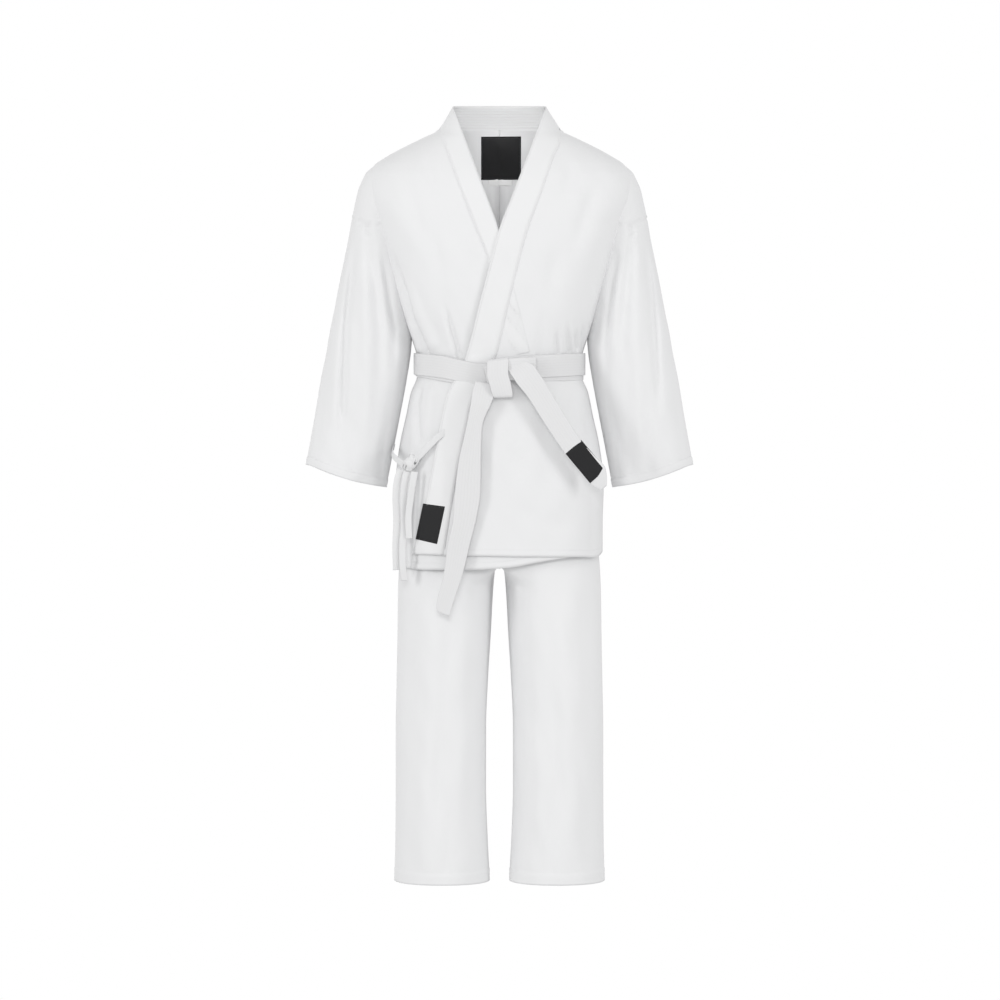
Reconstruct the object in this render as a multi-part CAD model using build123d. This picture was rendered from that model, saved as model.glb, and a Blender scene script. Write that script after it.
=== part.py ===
from build123d import *
import os
from math import cos, sin, tan, pi, copysign

os.makedirs("parts", exist_ok=True)

# ---------------------------------------------------------------- driving sizes (mm)
BELT_W = 40.0            # width of the belt
BELT_T = 3.2             # thickness of one turn of belt
TAIL_T = 3.6             # thickness of a belt tail
CLOTH = 2.0              # thickness of a garment panel
BACK_T = 2.6             # back panels with their seam allowances
GAP = 0.3                # clearance between layers of cloth
LAPEL_T = 3.0            # folded and stitched lapel band
LEG_PIVOT_Z = -860.0     # height of the hinge line across the tops of the legs
LEG_R = 98.0             # radius swept by the top of a leg about that line
SLEEVE_PIVOT = (237.5, -164.5)   # x, z of each sleeve's hinge line, parallel to Y
SLEEVE_R = 29.1          # radius of the sleeve head about it
CUFF_HEM = 16.0          # depth of the sleeve hem
LEG_HEM = 28.0           # depth of the trouser hem
HEM_Z = -1373.0          # bottom edge of the trousers
TIE_W = 12.0             # width of the tying tapes
TIE_T = 1.6
POWER = 2.4              # squareness of the body's horizontal sections

# Horizontal sections of the jacket: height, half width, half depth
TORSO = [
    (-799.7, 190.2, 124), (-773.3, 189.6, 124), (-706.9, 189.4, 123), (-648.6, 190.6, 121),
    (-605.0, 187.5, 119), (-561.3, 179.3, 117), (-517.6, 169.3, 114), (-473.9, 160.2, 110),
    (-448.4, 149.2, 106.5), (-406.6, 147.4, 106), (-388.4, 153.4, 108), (-361.1, 171.1, 111),
    (-306.5, 198.4, 116), (-271.9, 216.6, 119), (-215.5, 245.7, 120), (-166.3, 266.6, 115),
    (-126.3, 260.3, 106), (-106.3, 253.9, 100), (-88.1, 247.5, 94), (-77.2, 243.9, 90),
    (-69.9, 238.4, 87), (-62.6, 231.1, 84), (-48.0, 208.4, 78), (-33.5, 181.1, 72),
    (-18.9, 154.7, 68), (-4.4, 126.5, 64), (0.6, 111.6, 62),
]
# Horizontal sections of a sleeve: height, centre, half width, half depth
SLEEVE = [
    (-124.5, 230.7, 29.6, 66), (-164.5, 225.7, 41.0, 74), (-215.5, 224.8, 52.8, 74),
    (-271.9, 225.7, 62.8, 72), (-324.7, 228.4, 71.0, 70), (-370.2, 231.6, 76.9, 68),
    (-397.5, 236.1, 76.9, 66), (-452.1, 246.2, 77.8, 62), (-517.6, 258.4, 77.4, 58),
    (-583.1, 270.7, 76.9, 55), (-655.9, 283.2, 77.2, 52),
]
# Trouser seat, height, half width, half depth
SEAT = [
    (-425.0, 136, 95), (-470.0, 142, 97), (-473.9, 144, 98), (-517.6, 155, 102), (-561.3, 165, 105),
    (-605.0, 174, 107), (-648.6, 179, 108), (-706.9, 180.5, 104), (-753.0, 181, 97),
]
# Trouser leg: height, centre, half width, half depth
LEG = [
    (-693.0, 93.7, 86.0, 91), (-753.0, 93.7, 86.8, 90), (-802.0, 96.5, 86.2, 88),
    (-852.5, 99.2, 85.5, 88), (-911.0, 101.0, 83.7, 87), (-998.0, 104.7, 81.9, 84),
    (-1085.4, 107.4, 81.0, 82), (-1216.5, 107.8, 81.5, 80), (-1304.0, 106.5, 83.7, 78),
    (-1347.5, 111.0, 90.0, 76), (-1373.0, 112.4, 89.6, 75),
]


# ---------------------------------------------------------------- helpers
def section(a, b, z, cx=0.0, p=POWER, n=32):
    pts = []
    for i in range(n):
        t = 2 * pi * i / n
        c, s = cos(t), sin(t)
        pts.append(Vector(cx + copysign(abs(c) ** (2 / p), c) * a, copysign(abs(s) ** (2 / p), s) * b, z))
    return Face(Wire([Edge.make_spline(pts, periodic=True)]))


def body_loft(rows, off=0.0, over=0.0, p=POWER):
    faces = []
    if over:
        z, a, b = rows[0]
        faces.append(section(a + off, b + off, z - copysign(over, rows[1][0] - z), 0, p))
    for z, a, b in rows:
        faces.append(section(a + off, b + off, z, 0, p))
    if over:
        z, a, b = rows[-1]
        faces.append(section(a + off, b + off, z + copysign(over, z - rows[-2][0]), 0, p))
    return loft(faces, ruled=True)


def tube_loft(rows, side, off=0.0, over=0.0, p=2.1):
    faces = []
    z, c, a, b = rows[0]
    if over:
        faces.append(section(a + off, b + off, z + over, side * c, p))
    for z, c, a, b in rows:
        faces.append(section(a + off, b + off, z, side * c, p))
    if over:
        z, c, a, b = rows[-1]
        faces.append(section(a + off, b + off, z - over, side * c, p))
    return loft(faces, ruled=True)


def prism_y(pts, y0, y1):
    """Solid with the outline pts, given as x and z, running from y0 to y1."""
    w = Wire.make_polygon([Vector(x, y0, z) for x, z in pts], close=True)
    return extrude(Face(w), amount=y1 - y0, dir=(0, 1, 0))


def prism_x(pts, x0, x1):
    """Solid with the outline pts, given as y and z, running from x0 to x1."""
    w = Wire.make_polygon([Vector(x0, y, z) for y, z in pts], close=True)
    return extrude(Face(w), amount=x1 - x0, dir=(1, 0, 0))


def cyl_y(x, z, r, half):
    return Pos(x, half, z) * Rot(90, 0, 0) * Cylinder(r, 2 * half, align=(Align.CENTER, Align.CENTER, Align.MIN))


def cyl_x(y, z, r, half):
    return Pos(0, y, z) * Rot(0, 90, 0) * Cylinder(r, 2 * half)


def box(x0, x1, y0, y1, z0, z1):
    return Pos((x0 + x1) / 2, (y0 + y1) / 2, (z0 + z1) / 2) * Box(x1 - x0, y1 - y0, z1 - z0)


def mirror_pts(pts):
    return [(-x, z) for x, z in pts]


def biggest(shape, keep=1):
    s = sorted(shape.solids(), key=lambda k: -k.volume)[:keep]
    return s[0] if keep == 1 else Compound(children=s)


def save(name, shape):
    solids = [s for s in shape.solids() if s.volume > 1.0]
    out = solids[0] if len(solids) == 1 else Compound(children=solids)
    out.label = name
    export_step(out, f"parts/{name}.step")
    print(name, len(solids), round(sum(s.volume for s in solids)))


# ---------------------------------------------------------------- jacket skins
skin = body_loft(TORSO)
skin_in = body_loft(TORSO, -CLOTH, 2)
back_in = body_loft(TORSO, -BACK_T, 2)
under_out = body_loft(TORSO, -CLOTH - GAP, 0)
under_in = body_loft(TORSO, -2 * CLOTH - GAP, 2)
lap_out = body_loft(TORSO, LAPEL_T)

# Each arm hole: the sleeve head turns inside a round recess, and the sleeve
# lies against a slanted edge that runs down to the armpit.
px, pz = SLEEVE_PIVOT
EDGE = [(-207.5, -164.5), (-192.9, -264.6), (-176.5, -333.8), (-162.9, -384.7), (-157.4, -392.0), (-157.4, -404.0)]


def widen(side, by):
    """The arm hole enlarged by a clearance, for cutting the body."""
    poly = [(-400.0, -164.5)] + [(x + by, z) for x, z in EDGE] + [(-400.0, -404.0)]
    shape = cyl_y(-px, pz, SLEEVE_R + by, 200) + prism_y(poly, -200, 200)
    return shape if side < 0 else mirror(shape, about=Plane.YZ)


hole_r, hole_l = widen(-1, 0.9), widen(1, 0.9)

V_L, V_R, V_P = (-83.7, 41.1), (83.7, 41.1), (-0.9, -179.1)
v_cut = prism_y([(-93.3, 66.1), V_P, (93.3, 66.1)], -300, 0)

front = box(-400, 400, -300, 0, -900, 100)
back = box(-400, 400, 0, 300, -900, 100)

# ---- back panels: two halves joined down the middle, with side vents at the hem
back_hem = box(-400, 400, -300, 300, -790.0, 100)
vent_r = prism_y([(-230, -800), (-150, -800), (-150, -640), (-230, -640)], -1.0, 1.0)
backs = ((skin - back_in) & back & back_hem) - hole_r - hole_l
back_panel_right = backs & box(-400, 0, -300, 300, -900, 100)
back_panel_left = backs & box(0, 400, -300, 300, -900, 100)
save("back_panel_right", back_panel_right)
save("back_panel_left", back_panel_left)

# ---- left front panel: crosses over on top, edge under the left lapel
LAP_L_IN = [(83.7, 41.1), (-0.9, -179.1), (-62.8, -413.9), (-95.5, -479.4), (-130.1, -654.1), (-153.8, -772.4)]
LAP_L_OUT = [(113.8, -20.7), (39.1, -170.0), (26.4, -241.0), (-13.7, -410.2), (-44.6, -479.4), (-82.8, -654.1), (-104.7, -772.4)]
LAP_R_OUT = [(-103.4, -16.2), (-67.5, -113.6), (-19.1, -238.4), (11.8, -410.2), (44.6, -479.4), (82.8, -654.1), (104.7, -772.4)]
LAP_R_IN = [(-83.7, 41.1), (-0.9, -179.1), (61.0, -413.9), (95.5, -479.4), (130.1, -654.1), (150.0, -772.4)]

region_over = prism_y([(93.3, 66.1)] + LAP_L_IN[1:] + [(-153.8, -773.3), (195, -773.3), (400, -773.3), (400, 66.1)], -300, 0)
shell_over = (skin - skin_in) & front
front_panel_left = (shell_over & region_over) - v_cut - hole_l
save("front_panel_left", front_panel_left)

# ---- right front panel: lies underneath, hem a little longer
region_under = prism_y([(-400, 66.1), (-120, 66.1)] + LAP_R_OUT + [(104.7, -773.0), (60, -783.3), (11.8, -794.2), (-61.0, -797.9),
                        (-192.0, -794.2), (-400, -794.2)], -300, 0)
shell_under = (under_out - under_in) & front
front_panel_right = (shell_under & region_under) - v_cut - hole_r
save("front_panel_right", front_panel_right)

# ---- lapel bands and the standing collar
NECK = [(0.6, 111.6, 64.0), (41.1, 83.7, 57.0)]
ring_out = body_loft([(z, a + LAPEL_T, b + LAPEL_T) for z, a, b in NECK])
ring_in = body_loft([(z, a - 1.5, b - 1.5) for z, a, b in NECK], 0, 2)
neck_ring = (ring_out - ring_in) - v_cut
collar_band = neck_ring
save("collar_band", collar_band)

band_l = prism_y([(145, -0.7), (113.8, -20.7)] + LAP_L_OUT[1:] + [(-104.7, -773.0), (-153.8, -773.0)] + LAP_L_IN[:0:-1] + [(93.3, 66.1), (145, 66.1)], -300, 0)
lapel_left = ((lap_out - skin) & front & band_l) - v_cut
lapel_left = biggest(lapel_left & box(-400, 400, -300, 300, -900, 0.4))
save("lapel_left", lapel_left)

# visible upper stretch, over the right panel, ending under the left lapel
band_r = prism_y([(-145, 1.1), (-103.4, -16.2), (-67.5, -113.6), (-19.6, -238.4), (-1.5, -180.0), (-93.3, 66.1), (-145, 66.1)], -300, 0)
band_r_low = prism_y(LAP_R_OUT[2:] + [(150.0, -772.4)] + LAP_R_IN[-2:0:-1], -300, 0)
lapel_right = ((lap_out - under_out) & front & band_r) - v_cut
lapel_right = biggest(lapel_right & box(-400, 400, -300, 300, -900, 0.4))
low = (shell_under & band_r_low)
lapel_right_all = Compound(children=[s for s in (lapel_right.solids() + low.solids()) if s.volume > 5])
save("lapel_right", lapel_right_all)

# ---- woven labels: neck patch and size tab inside the back, one on the skirt
lab_in = body_loft(TORSO, -BACK_T - 1.0, 2)
neck_label = ((back_in - lab_in) & back) & box(-33.7, 39.1, 0, 300, -89.9, -11.6)
save("neck_label", neck_label)
size_tag = ((back_in - body_loft(TORSO, -BACK_T - 0.5, 2)) & back) & box(-20.9, 24.6, 0, 300, -100.8, -90.0)
save("size_tag", size_tag)
LAPEL_LABEL = [(-139.2, -677.0), (-99.2, -682.5), (-113.8, -751.3), (-152.9, -742.0)]
lapel_label = ((body_loft(TORSO, LAPEL_T + 0.9) - lap_out) & front) & prism_y(LAPEL_LABEL, -300, 0)
save("lapel_label", lapel_label)


# ---------------------------------------------------------------- belt
def ring(a0, b0, t, z0, z1, p=POWER):
    o = loft([section(a0 + t, b0 + t, z0, 0, p), section(a0 + t, b0 + t, z1, 0, p)], ruled=True)
    i = loft([section(a0, b0, z0 - 2, 0, p), section(a0, b0, z1 + 2, 0, p)], ruled=True)
    return o - i


WA, WB = 154.6, 110.4   # clears the lapels and panels at the waist
belt_inner_turn = ring(WA, WB, BELT_T, -452.5, -452.5 + BELT_W)
belt_outer_turn = ring(WA + BELT_T + 0.1, WB + BELT_T + 0.1, BELT_T, -444.5, -444.5 + BELT_W)
belt_room = loft([section(WA + 2 * BELT_T + 1.3, WB + 2 * BELT_T + 1.3, z, 0, POWER) for z in (-455.0, -402.0)], ruled=True)
save("belt_inner_turn", belt_inner_turn)
save("belt_outer_turn", belt_outer_turn)

KY = -(WB + 2 * BELT_T + 0.2)     # front face of the outer turn
KNOT = [(-23.5, -415.0), (-13.7, -409.5), (17.0, -408.0), (16.5, -437.5), (23.5, -481.5), (-10.6, -484.3), (-23.0, -441.0)]
wrap = prism_y(KNOT, KY - 15.5, KY - 0.2)
wrap = wrap - prism_y([(-40, -417.5), (40, -413.0), (40, -476.5), (-40, -478.5)], KY - 11.7, KY - 4.0)
save("belt_knot_wrap", wrap)
core = prism_y([(-33.0, -420.5), (57.0, -426.8), (24.7, -449.5), (20.0, -474.0), (-20.0, -476.0), (-33.0, -452.0)], KY - 11.3, KY - 4.4)
save("belt_knot_core", core)

TY0 = KY - 15.4
# tail hanging straight down, and tail standing out to the side with its label
TAIL_R = [(-48.2, -488.5), (-61.7, -544.9), (-73.7, -597.7), (-81.7, -663.2), (-84.1, -705.1), (-94.5, -752.4), (-101.4, -805.2),
          (-115.6, -868.1), (-113.0, -874.3), (-95.5, -885.2), (-91.9, -884.3), (-78.3, -842.5), (-57.3, -772.4), (-50.4, -739.6),
          (-39.9, -694.1), (-34.0, -641.4), (-33.7, -535.8), (-25.1, -506.0), (-12.6, -488.5)]
TAIL_L = [(28.0, -451.0), (48.2, -477.6), (120.3, -586.8), (164.7, -639.5), (193.8, -652.3), (193.1, -614.1), (145.6, -559.5),
          (79.2, -450.3), (59.1, -428.6)]
tail_r = prism_y(TAIL_R, TY0, TY0 + TAIL_T)
tail_l = prism_y(TAIL_L, TY0, TY0 + TAIL_T)
save("belt_tail_right", tail_r)
save("belt_tail_left", tail_l)
BELT_LABEL = [(148.3, -561.3), (193.1, -614.1), (164.7, -639.5), (120.3, -586.8)]
bl = prism_y([(147.0, -563.8), (191.0, -615.0), (165.4, -637.2), (122.6, -586.6)], TY0 - 0.9, TY0)
save("belt_label", bl)

# ---------------------------------------------------------------- side tying tapes
def tape(points, w, t):
    """Flat tape lying along a line of points, wide side upright."""
    segs = None
    for (a, b) in zip(points[:-1], points[1:]):
        va, vb = Vector(*a), Vector(*b)
        d = (vb - va)
        ln = d.length
        pl = Plane(origin=va, z_dir=d.normalized(), x_dir=Vector(0, 0, 1) - d.normalized() * d.normalized().Z)
        s = pl * Box(w, t, ln, align=(Align.CENTER, Align.CENTER, Align.MIN))
        segs = s if segs is None else segs + s
    return segs


save("side_tie_front", tape([(-102.0, -116.0, -546.5), (-122.0, -110.5, -562.0), (-140.0, -101.5, -578.0)], TIE_W, TIE_T))
save("side_tie_side", tape([(-189.5, -20.0, -574.0), (-191.5, -55.0, -580.0), (-181.0, -82.0, -590.0)], TIE_W, TIE_T))
knot = Pos(-160.0, -97.0, -602.0) * Rot(0, 0, 37) * Box(38, 14, 30)
knot = fillet(knot.edges(), 6)
save("side_tie_knot", knot)


def hang(pts, y):
    """Closed strip solid built from the two edges of the tape."""
    left, right = [], []
    n = len(pts)
    for i, (x, z) in enumerate(pts):
        x0, z0 = pts[max(0, i - 1)]
        x1, z1 = pts[min(n - 1, i + 1)]
        dx, dz = x1 - x0, z1 - z0
        L = (dx * dx + dz * dz) ** 0.5
        nx, nz = -dz / L, dx / L
        left.append((x + nx * TIE_W / 2, z + nz * TIE_W / 2))
        right.append((x - nx * TIE_W / 2, z - nz * TIE_W / 2))
    return prism_y(left + right[::-1], y, y + TIE_T)


TIE_END_A = [(-168.0, -612.0), (-172.0, -650.0), (-171.0, -700.0), (-174.5, -750.0), (-171.0, -808.0)]
TIE_END_B = [(-180.0, -606.0), (-186.0, -650.0), (-185.0, -700.0), (-186.5, -745.0), (-186.0, -788.0)]
TIE_LOOP = [(-150.0, -610.0), (-158.0, -650.0), (-163.0, -690.0), (-162.0, -730.0)]
save("side_tie_end_a", biggest(hang(TIE_END_A, -105.0) - knot))
save("side_tie_end_b", biggest(hang(TIE_END_B, -101.5) - knot))
save("side_tie_loop", biggest(hang(TIE_LOOP, -109.0) - knot))


# ---------------------------------------------------------------- sleeves
def sleeve(side):
    t = tube_loft(SLEEVE, side)
    ti = tube_loft(SLEEVE, side, -CLOTH, 2)
    tc = tube_loft(SLEEVE, side, -CLOTH - 1.2, 2)
    to = tube_loft(SLEEVE, side, 0.6)
    area = cyl_y(-px, pz, SLEEVE_R, 200) + prism_y([(-400.0, -164.5)] + [(x, z) for x, z in EDGE[:-1]] + [(-150.0, -396.0), (-150.0, -700.0), (-400.0, -700.0)], -200, 200)
    # the cuff edge slopes down towards the body
    cut = prism_y([(-420, -589.9), (-352.2, -608.1), (-204.8, -647.7), (-100, -675.9), (-100, -760), (-420, -760)], -200, 200)
    above = prism_y([(-420, -589.9 + CUFF_HEM), (-352.2, -608.1 + CUFF_HEM), (-204.8, -647.7 + CUFF_HEM), (-100, -675.9 + CUFF_HEM), (-100, 0), (-420, 0)], -200, 200)
    if side > 0:
        area, cut, above = (mirror(s, about=Plane.YZ) for s in (area, cut, above))
    main = (((t - ti) & area) & above) - belt_room
    hem = ((to - tc) - cut) - above
    hem = hem & (box(-420, -100, -200, 200, -700, -560) if side < 0 else box(100, 420, -200, 200, -700, -560))
    return main, hem


for side, tag in ((-1, "right"), (1, "left")):
    m, h = sleeve(side)
    save(f"sleeve_{tag}", m)
    save(f"cuff_hem_{tag}", h)

# ---------------------------------------------------------------- trousers
seat_o, seat_i = body_loft(SEAT), body_loft([(z, a - CLOTH, b - CLOTH) for z, a, b in SEAT[:-1]] + [(-751.0, 179, 95)])
seat_i = seat_i + loft([section(136 - CLOTH, 95 - CLOTH, -425, 0), section(136 - CLOTH, 95 - CLOTH, -420, 0)], ruled=True)
leg_o = {s: tube_loft(LEG, s) for s in (-1, 1)}
leg_i = {s: tube_loft(LEG, s, -CLOTH, 1.5) for s in (-1, 1)}
outer = seat_o + leg_o[-1] + leg_o[1]
inner = seat_i + leg_i[-1] + leg_i[1]
shell = outer - inner

PZ = LEG_PIVOT_Z
ball = cyl_x(0, PZ, LEG_R, 260) & box(-300, 300, -120, 120, -1000, PZ + 50.0)
ball_gap = cyl_x(0, PZ, LEG_R + 1.0, 260) & box(-300, 300, -120, 120, -1000, PZ + 56.0)
below = box(-300, 300, -150, 150, -1400, PZ)
leg_zone = (ball + below) - box(-300, 300, -150, 150, -1400, HEM_Z + LEG_HEM)
hem_zone = box(-300, 300, -150, 150, -1400, HEM_Z + LEG_HEM)
BAND_H = 45.0
seat_all = (shell - ball_gap - below) & box(-300, 300, -200, 200, -1000, -425.0 - BAND_H)
GUS = 42.0
gusset_zone = box(-GUS, GUS, -200, 200, -835, -735)
crotch_gusset = seat_all & gusset_zone
seat_rest = seat_all - gusset_zone
save("seat_right", seat_rest & box(-300, 0, -200, 200, -1000, 0))
save("seat_left", seat_rest & box(0, 300, -200, 200, -1000, 0))
save("crotch_gusset", crotch_gusset)

for side, tag in ((-1, "right"), (1, "left")):
    half = box(-300, 0, -200, 200, -1400, 0) if side < 0 else box(0, 300, -200, 200, -1400, 0)
    save(f"trouser_leg_{tag}", (leg_o[side] - leg_i[side]) & leg_zone & half)
    thick = tube_loft(LEG, side, 0.6) - tube_loft(LEG, side, -CLOTH - 1.2, 2)
    save(f"leg_hem_{tag}", thick & hem_zone)

# waistband: cloth folded over a band of elastic, open along its lower edge
def band_ring(a, b, a2, b2, z0, z1, t):
    o = loft([section(a2, b2, z0), section(a, b, z1)], ruled=True)
    i = loft([section(a2 - t, b2 - t, z0), section(a - t, b - t, z1)], ruled=True)
    return o, i


top, bot = -425.0, -425.0 - BAND_H
o, _ = band_ring(136, 95, 142, 97, bot, top, 1)
_, i = band_ring(136, 95, 142, 97, bot - 0.0, top, 5.4)
i = i + loft([section(136 - 5.4, 95 - 5.4, top), section(136 - 5.4, 95 - 5.4, top + 2)], ruled=True)
o1, _ = band_ring(136 - 1.2, 95 - 1.2, 142 - 1.2, 97 - 1.2, bot, top - 2.5, 1)
_, i1 = band_ring(136 - 1.2, 95 - 1.2, 142 - 1.2, 97 - 1.2, bot, top - 2.5, 3.0)
channel = o1 - i1
waistband = (o - i) - channel
save("waistband", waistband)
oe, _ = band_ring(136 - 1.6, 95 - 1.6, 141.4 - 1.6, 97 - 1.6, bot + 3, top - 4, 1)
_, ie = band_ring(136 - 1.6, 95 - 1.6, 141.4 - 1.6, 97 - 1.6, bot + 3, top - 4, 2.2)
save("waist_elastic", oe - ie)
eyes = None
for x in (-14.0, 14.0):
    e = Pos(x, -97.0, -448.0) * Rot(90, 0, 0) * (Cylinder(6.0, 1.6) - Cylinder(3.2, 4.0))
    eyes = e if eyes is None else eyes + e
save("waist_eyelets", eyes)
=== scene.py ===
import bpy
import numpy as np
from math import pi, radians, sin, cos
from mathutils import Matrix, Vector


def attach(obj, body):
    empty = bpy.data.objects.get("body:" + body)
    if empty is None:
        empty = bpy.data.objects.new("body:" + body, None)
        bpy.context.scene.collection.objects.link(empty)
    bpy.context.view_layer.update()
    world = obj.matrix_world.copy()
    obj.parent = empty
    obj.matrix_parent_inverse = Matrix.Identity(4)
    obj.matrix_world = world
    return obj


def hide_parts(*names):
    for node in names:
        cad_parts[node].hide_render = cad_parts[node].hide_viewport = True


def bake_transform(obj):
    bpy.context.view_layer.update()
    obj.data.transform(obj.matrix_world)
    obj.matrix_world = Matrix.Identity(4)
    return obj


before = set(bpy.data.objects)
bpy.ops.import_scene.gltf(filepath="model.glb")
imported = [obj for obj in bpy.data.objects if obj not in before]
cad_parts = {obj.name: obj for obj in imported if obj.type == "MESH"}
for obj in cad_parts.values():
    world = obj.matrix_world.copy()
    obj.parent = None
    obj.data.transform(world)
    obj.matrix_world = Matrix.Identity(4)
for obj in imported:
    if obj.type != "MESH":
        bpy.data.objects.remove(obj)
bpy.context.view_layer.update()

# ------------------------------------------------------------------ drafting grid
# The garment is drafted on a front elevation grid of G metres per unit, seen from a
# view point D metres in front at height ZC. w() carries a grid point at depth y into
# the frame, so the outline drafted on the grid is the outline seen from that point.
G, D, ZC, CX, CY = 0.00182, 7.0, 0.027, 499.5, 886.0


def w(u, v, y):
    u, v, y = np.broadcast_arrays(np.asarray(u, float), np.asarray(v, float), np.asarray(y, float))
    k = (D + y) / D
    z = (CY - v) * G - 1.373
    return np.stack([(u - CX) * G * k, y, ZC + (z - ZC) * k], -1)


def vz(z, y):
    """Grid height of a true height z at depth y."""
    k = (D + y) / D
    return CY - ((z - ZC) / k + ZC + 1.373) / G


def smooth(a, b, x):
    t = np.clip((np.asarray(x, float) - a) / (b - a), 0, 1)
    return t * t * (3 - 2 * t)


def curve(tab, x, col=1):
    """Smooth interpolation through a table (Catmull-Rom with limited slopes)."""
    t = np.asarray(tab, float)
    xs, ys = t[:, 0], t[:, col]
    d = np.diff(ys) / np.diff(xs)
    m = np.zeros(len(xs))
    m[1:-1] = np.where(d[:-1] * d[1:] > 0, 2 * d[:-1] * d[1:] / (d[:-1] + d[1:] + 1e-12), 0)
    m[0], m[-1] = d[0], d[-1]
    x = np.clip(np.asarray(x, float), xs[0], xs[-1])
    i = np.clip(np.searchsorted(xs, x) - 1, 0, len(xs) - 2)
    h = xs[i + 1] - xs[i]
    s = (x - xs[i]) / h
    return ((2 * s**3 - 3 * s**2 + 1) * ys[i] + (s**3 - 2 * s**2 + s) * h * m[i]
            + (-2 * s**3 + 3 * s**2) * ys[i + 1] + (s**3 - s**2) * h * m[i + 1])


# ------------------------------------------------------------------ body of the jacket
# grid height, half width (grid), half depth (m), squareness
BODY = [
    (107, 44.2, .056, 2.2), (109, 45.2, .056, 2.2), (120, 51.6, .059, 2.2), (131.5, 59.6, .062, 2.3), (140, 76.5, .067, 2.3), (150, 97, .074, 2.4), (158, 111.5, .081, 2.5),
    (166, 123.5, .088, 2.6), (175, 129.6, .095, 2.8), (187, 132.0, .102, 3.0), (201, 131.0, .108, 3.2),
    (223, 124.0, .114, 3.2), (250, 115.0, .118, 3.2), (281, 105.5, .118, 3.1), (305, 98.8, .115, 3.0),
    (328, 91.5, .110, 2.8), (345, 85.3, .106, 2.6), (356, 82.3, .104, 2.5), (366, 81.3, .103, 2.5),
    (376, 82.0, .105, 2.5), (392, 88.2, .110, 2.5), (416, 93.3, .114, 2.5), (440, 98.7, .117, 2.5),
    (464, 102.4, .119, 2.7), (488, 104.2, .121, 2.8), (520, 103.3, .123, 2.8), (556, 103.3, .124, 2.8), (600, 103.5, .124, 2.8),
]


def body_a(v): return curve(BODY, v, 1)
def body_b(v): return curve(BODY, v, 2)
def body_p(v): return curve(BODY, v, 3)


def seg_fold(u, v, pts, width, depth, tips=(0.25, 0.25)):
    """A soft valley (depth > 0 goes inwards) along a line of grid points."""
    pts = np.asarray(pts, float)
    best = np.full(np.shape(u), 1e9)
    along = np.zeros(np.shape(u))
    L = np.r_[0, np.cumsum(np.hypot(*np.diff(pts, axis=0).T))]
    for i in range(len(pts) - 1):
        a, b = pts[i], pts[i + 1]
        d = b - a
        t = np.clip(((u - a[0]) * d[0] + (v - a[1]) * d[1]) / (d @ d), 0, 1)
        dist = np.hypot(u - a[0] - t * d[0], v - a[1] - t * d[1])
        near = dist < best
        best = np.where(near, dist, best)
        along = np.where(near, L[i] + t * (L[i + 1] - L[i]), along)
    s = along / L[-1]
    taper = smooth(0, tips[0] + 1e-6, s) * (1 - smooth(1 - tips[1] - 1e-6, 1, s)) if max(tips) > 0 else 1
    return depth * np.exp(-(best / width) ** 2) * taper


FRONT_FOLDS = [
    ([(389, 243), (399, 277), (412, 318), (427, 354)], 3.2, .0095, (.45, .0)),
    ([(383, 232), (393, 270), (405, 315), (418, 352)], 4.0, -.0050, (.45, .0)),
    ([(402, 262), (418, 312), (436, 352)], 5.0, -.0042, (.5, .1)),
    ([(443, 300), (452, 332), (459, 357)], 2.8, .0062, (.5, .0)),
    ([(430, 315), (444, 352)], 6.0, .0015, (.5, .1)),
    ([(470, 325), (473, 358)], 5.0, .0012, (.6, .0)),
    ([(623, 228), (612, 262), (598, 306), (588, 338)], 3.0, .0060, (.15, .3)),
    ([(612, 232), (600, 280), (586, 330)], 5.0, -.0030, (.4, .3)),
    ([(582, 322), (583, 352)], 1.8, .0055, (.5, .0)),
    ([(575, 326), (577, 352)], 1.8, .0052, (.5, .0)),
    ([(567, 318), (569, 353)], 2.2, .0050, (.6, .0)),
    ([(557, 326), (558, 354)], 2.2, .0042, (.6, .0)),
    ([(545, 290), (541, 355)], 6.0, .0016, (.6, .0)),
    ([(602, 172), (585, 215), (570, 265)], 7.5, .0032, (.4, .5)),
    ([(575, 160), (560, 205)], 6.0, .0028, (.4, .5)),
    ([(400, 165), (418, 215), (430, 262)], 7.5, .0032, (.4, .5)),
    ([(424, 152), (436, 200)], 6.0, .0026, (.4, .5)),
    ([(596, 380), (590, 420), (592, 470)], 6.0, .0022, (.2, .6)),
    ([(575, 382), (568, 430), (566, 480)], 8.0, .0028, (.1, .6)),
    ([(548, 384), (546, 440), (548, 520)], 10.0, .0022, (.1, .5)),
    ([(520, 400), (516, 450), (514, 520)], 12.0, .0018, (.2, .5)),
    ([(420, 384), (415, 405), (417, 430), (421, 452)], 3.6, .0050, (.1, .3)),
    ([(431, 386), (428, 420), (431, 450)], 5.0, -.0026, (.1, .4)),
    ([(407, 392), (404, 440), (403, 520)], 6.0, .0030, (.2, .5)),
    ([(416, 470), (412, 520), (414, 566)], 6.0, .0030, (.3, .0)),
    ([(590, 470), (594, 530), (592, 556)], 5.0, .0020, (.4, .0)),
    ([(432, 200), (436, 255), (446, 300)], 8.0, .0030, (.4, .4)),
    ([(556, 240), (551, 290), (560, 318)], 8.0, .0028, (.4, .4)),
    ([(500, 440), (530, 470), (565, 500)], 9.0, .0022, (.4, .4)),
    ([(505, 500), (545, 522), (585, 528)], 9.0, .0020, (.4, .4)),
]


def soft_noise(u, v, amp, k=1.0):
    """Slow uneven waviness of pressed cotton."""
    return amp * (np.sin(u * .043 * k + 1.3) * np.sin(v * .031 * k + .4) + .6 * np.sin(u * .081 * k - v * .057 * k + 2.1)
                  + .35 * np.sin(u * .151 * k + v * .093 * k) + .22 * np.sin(u * .23 * k - v * .171 * k + .7))


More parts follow.
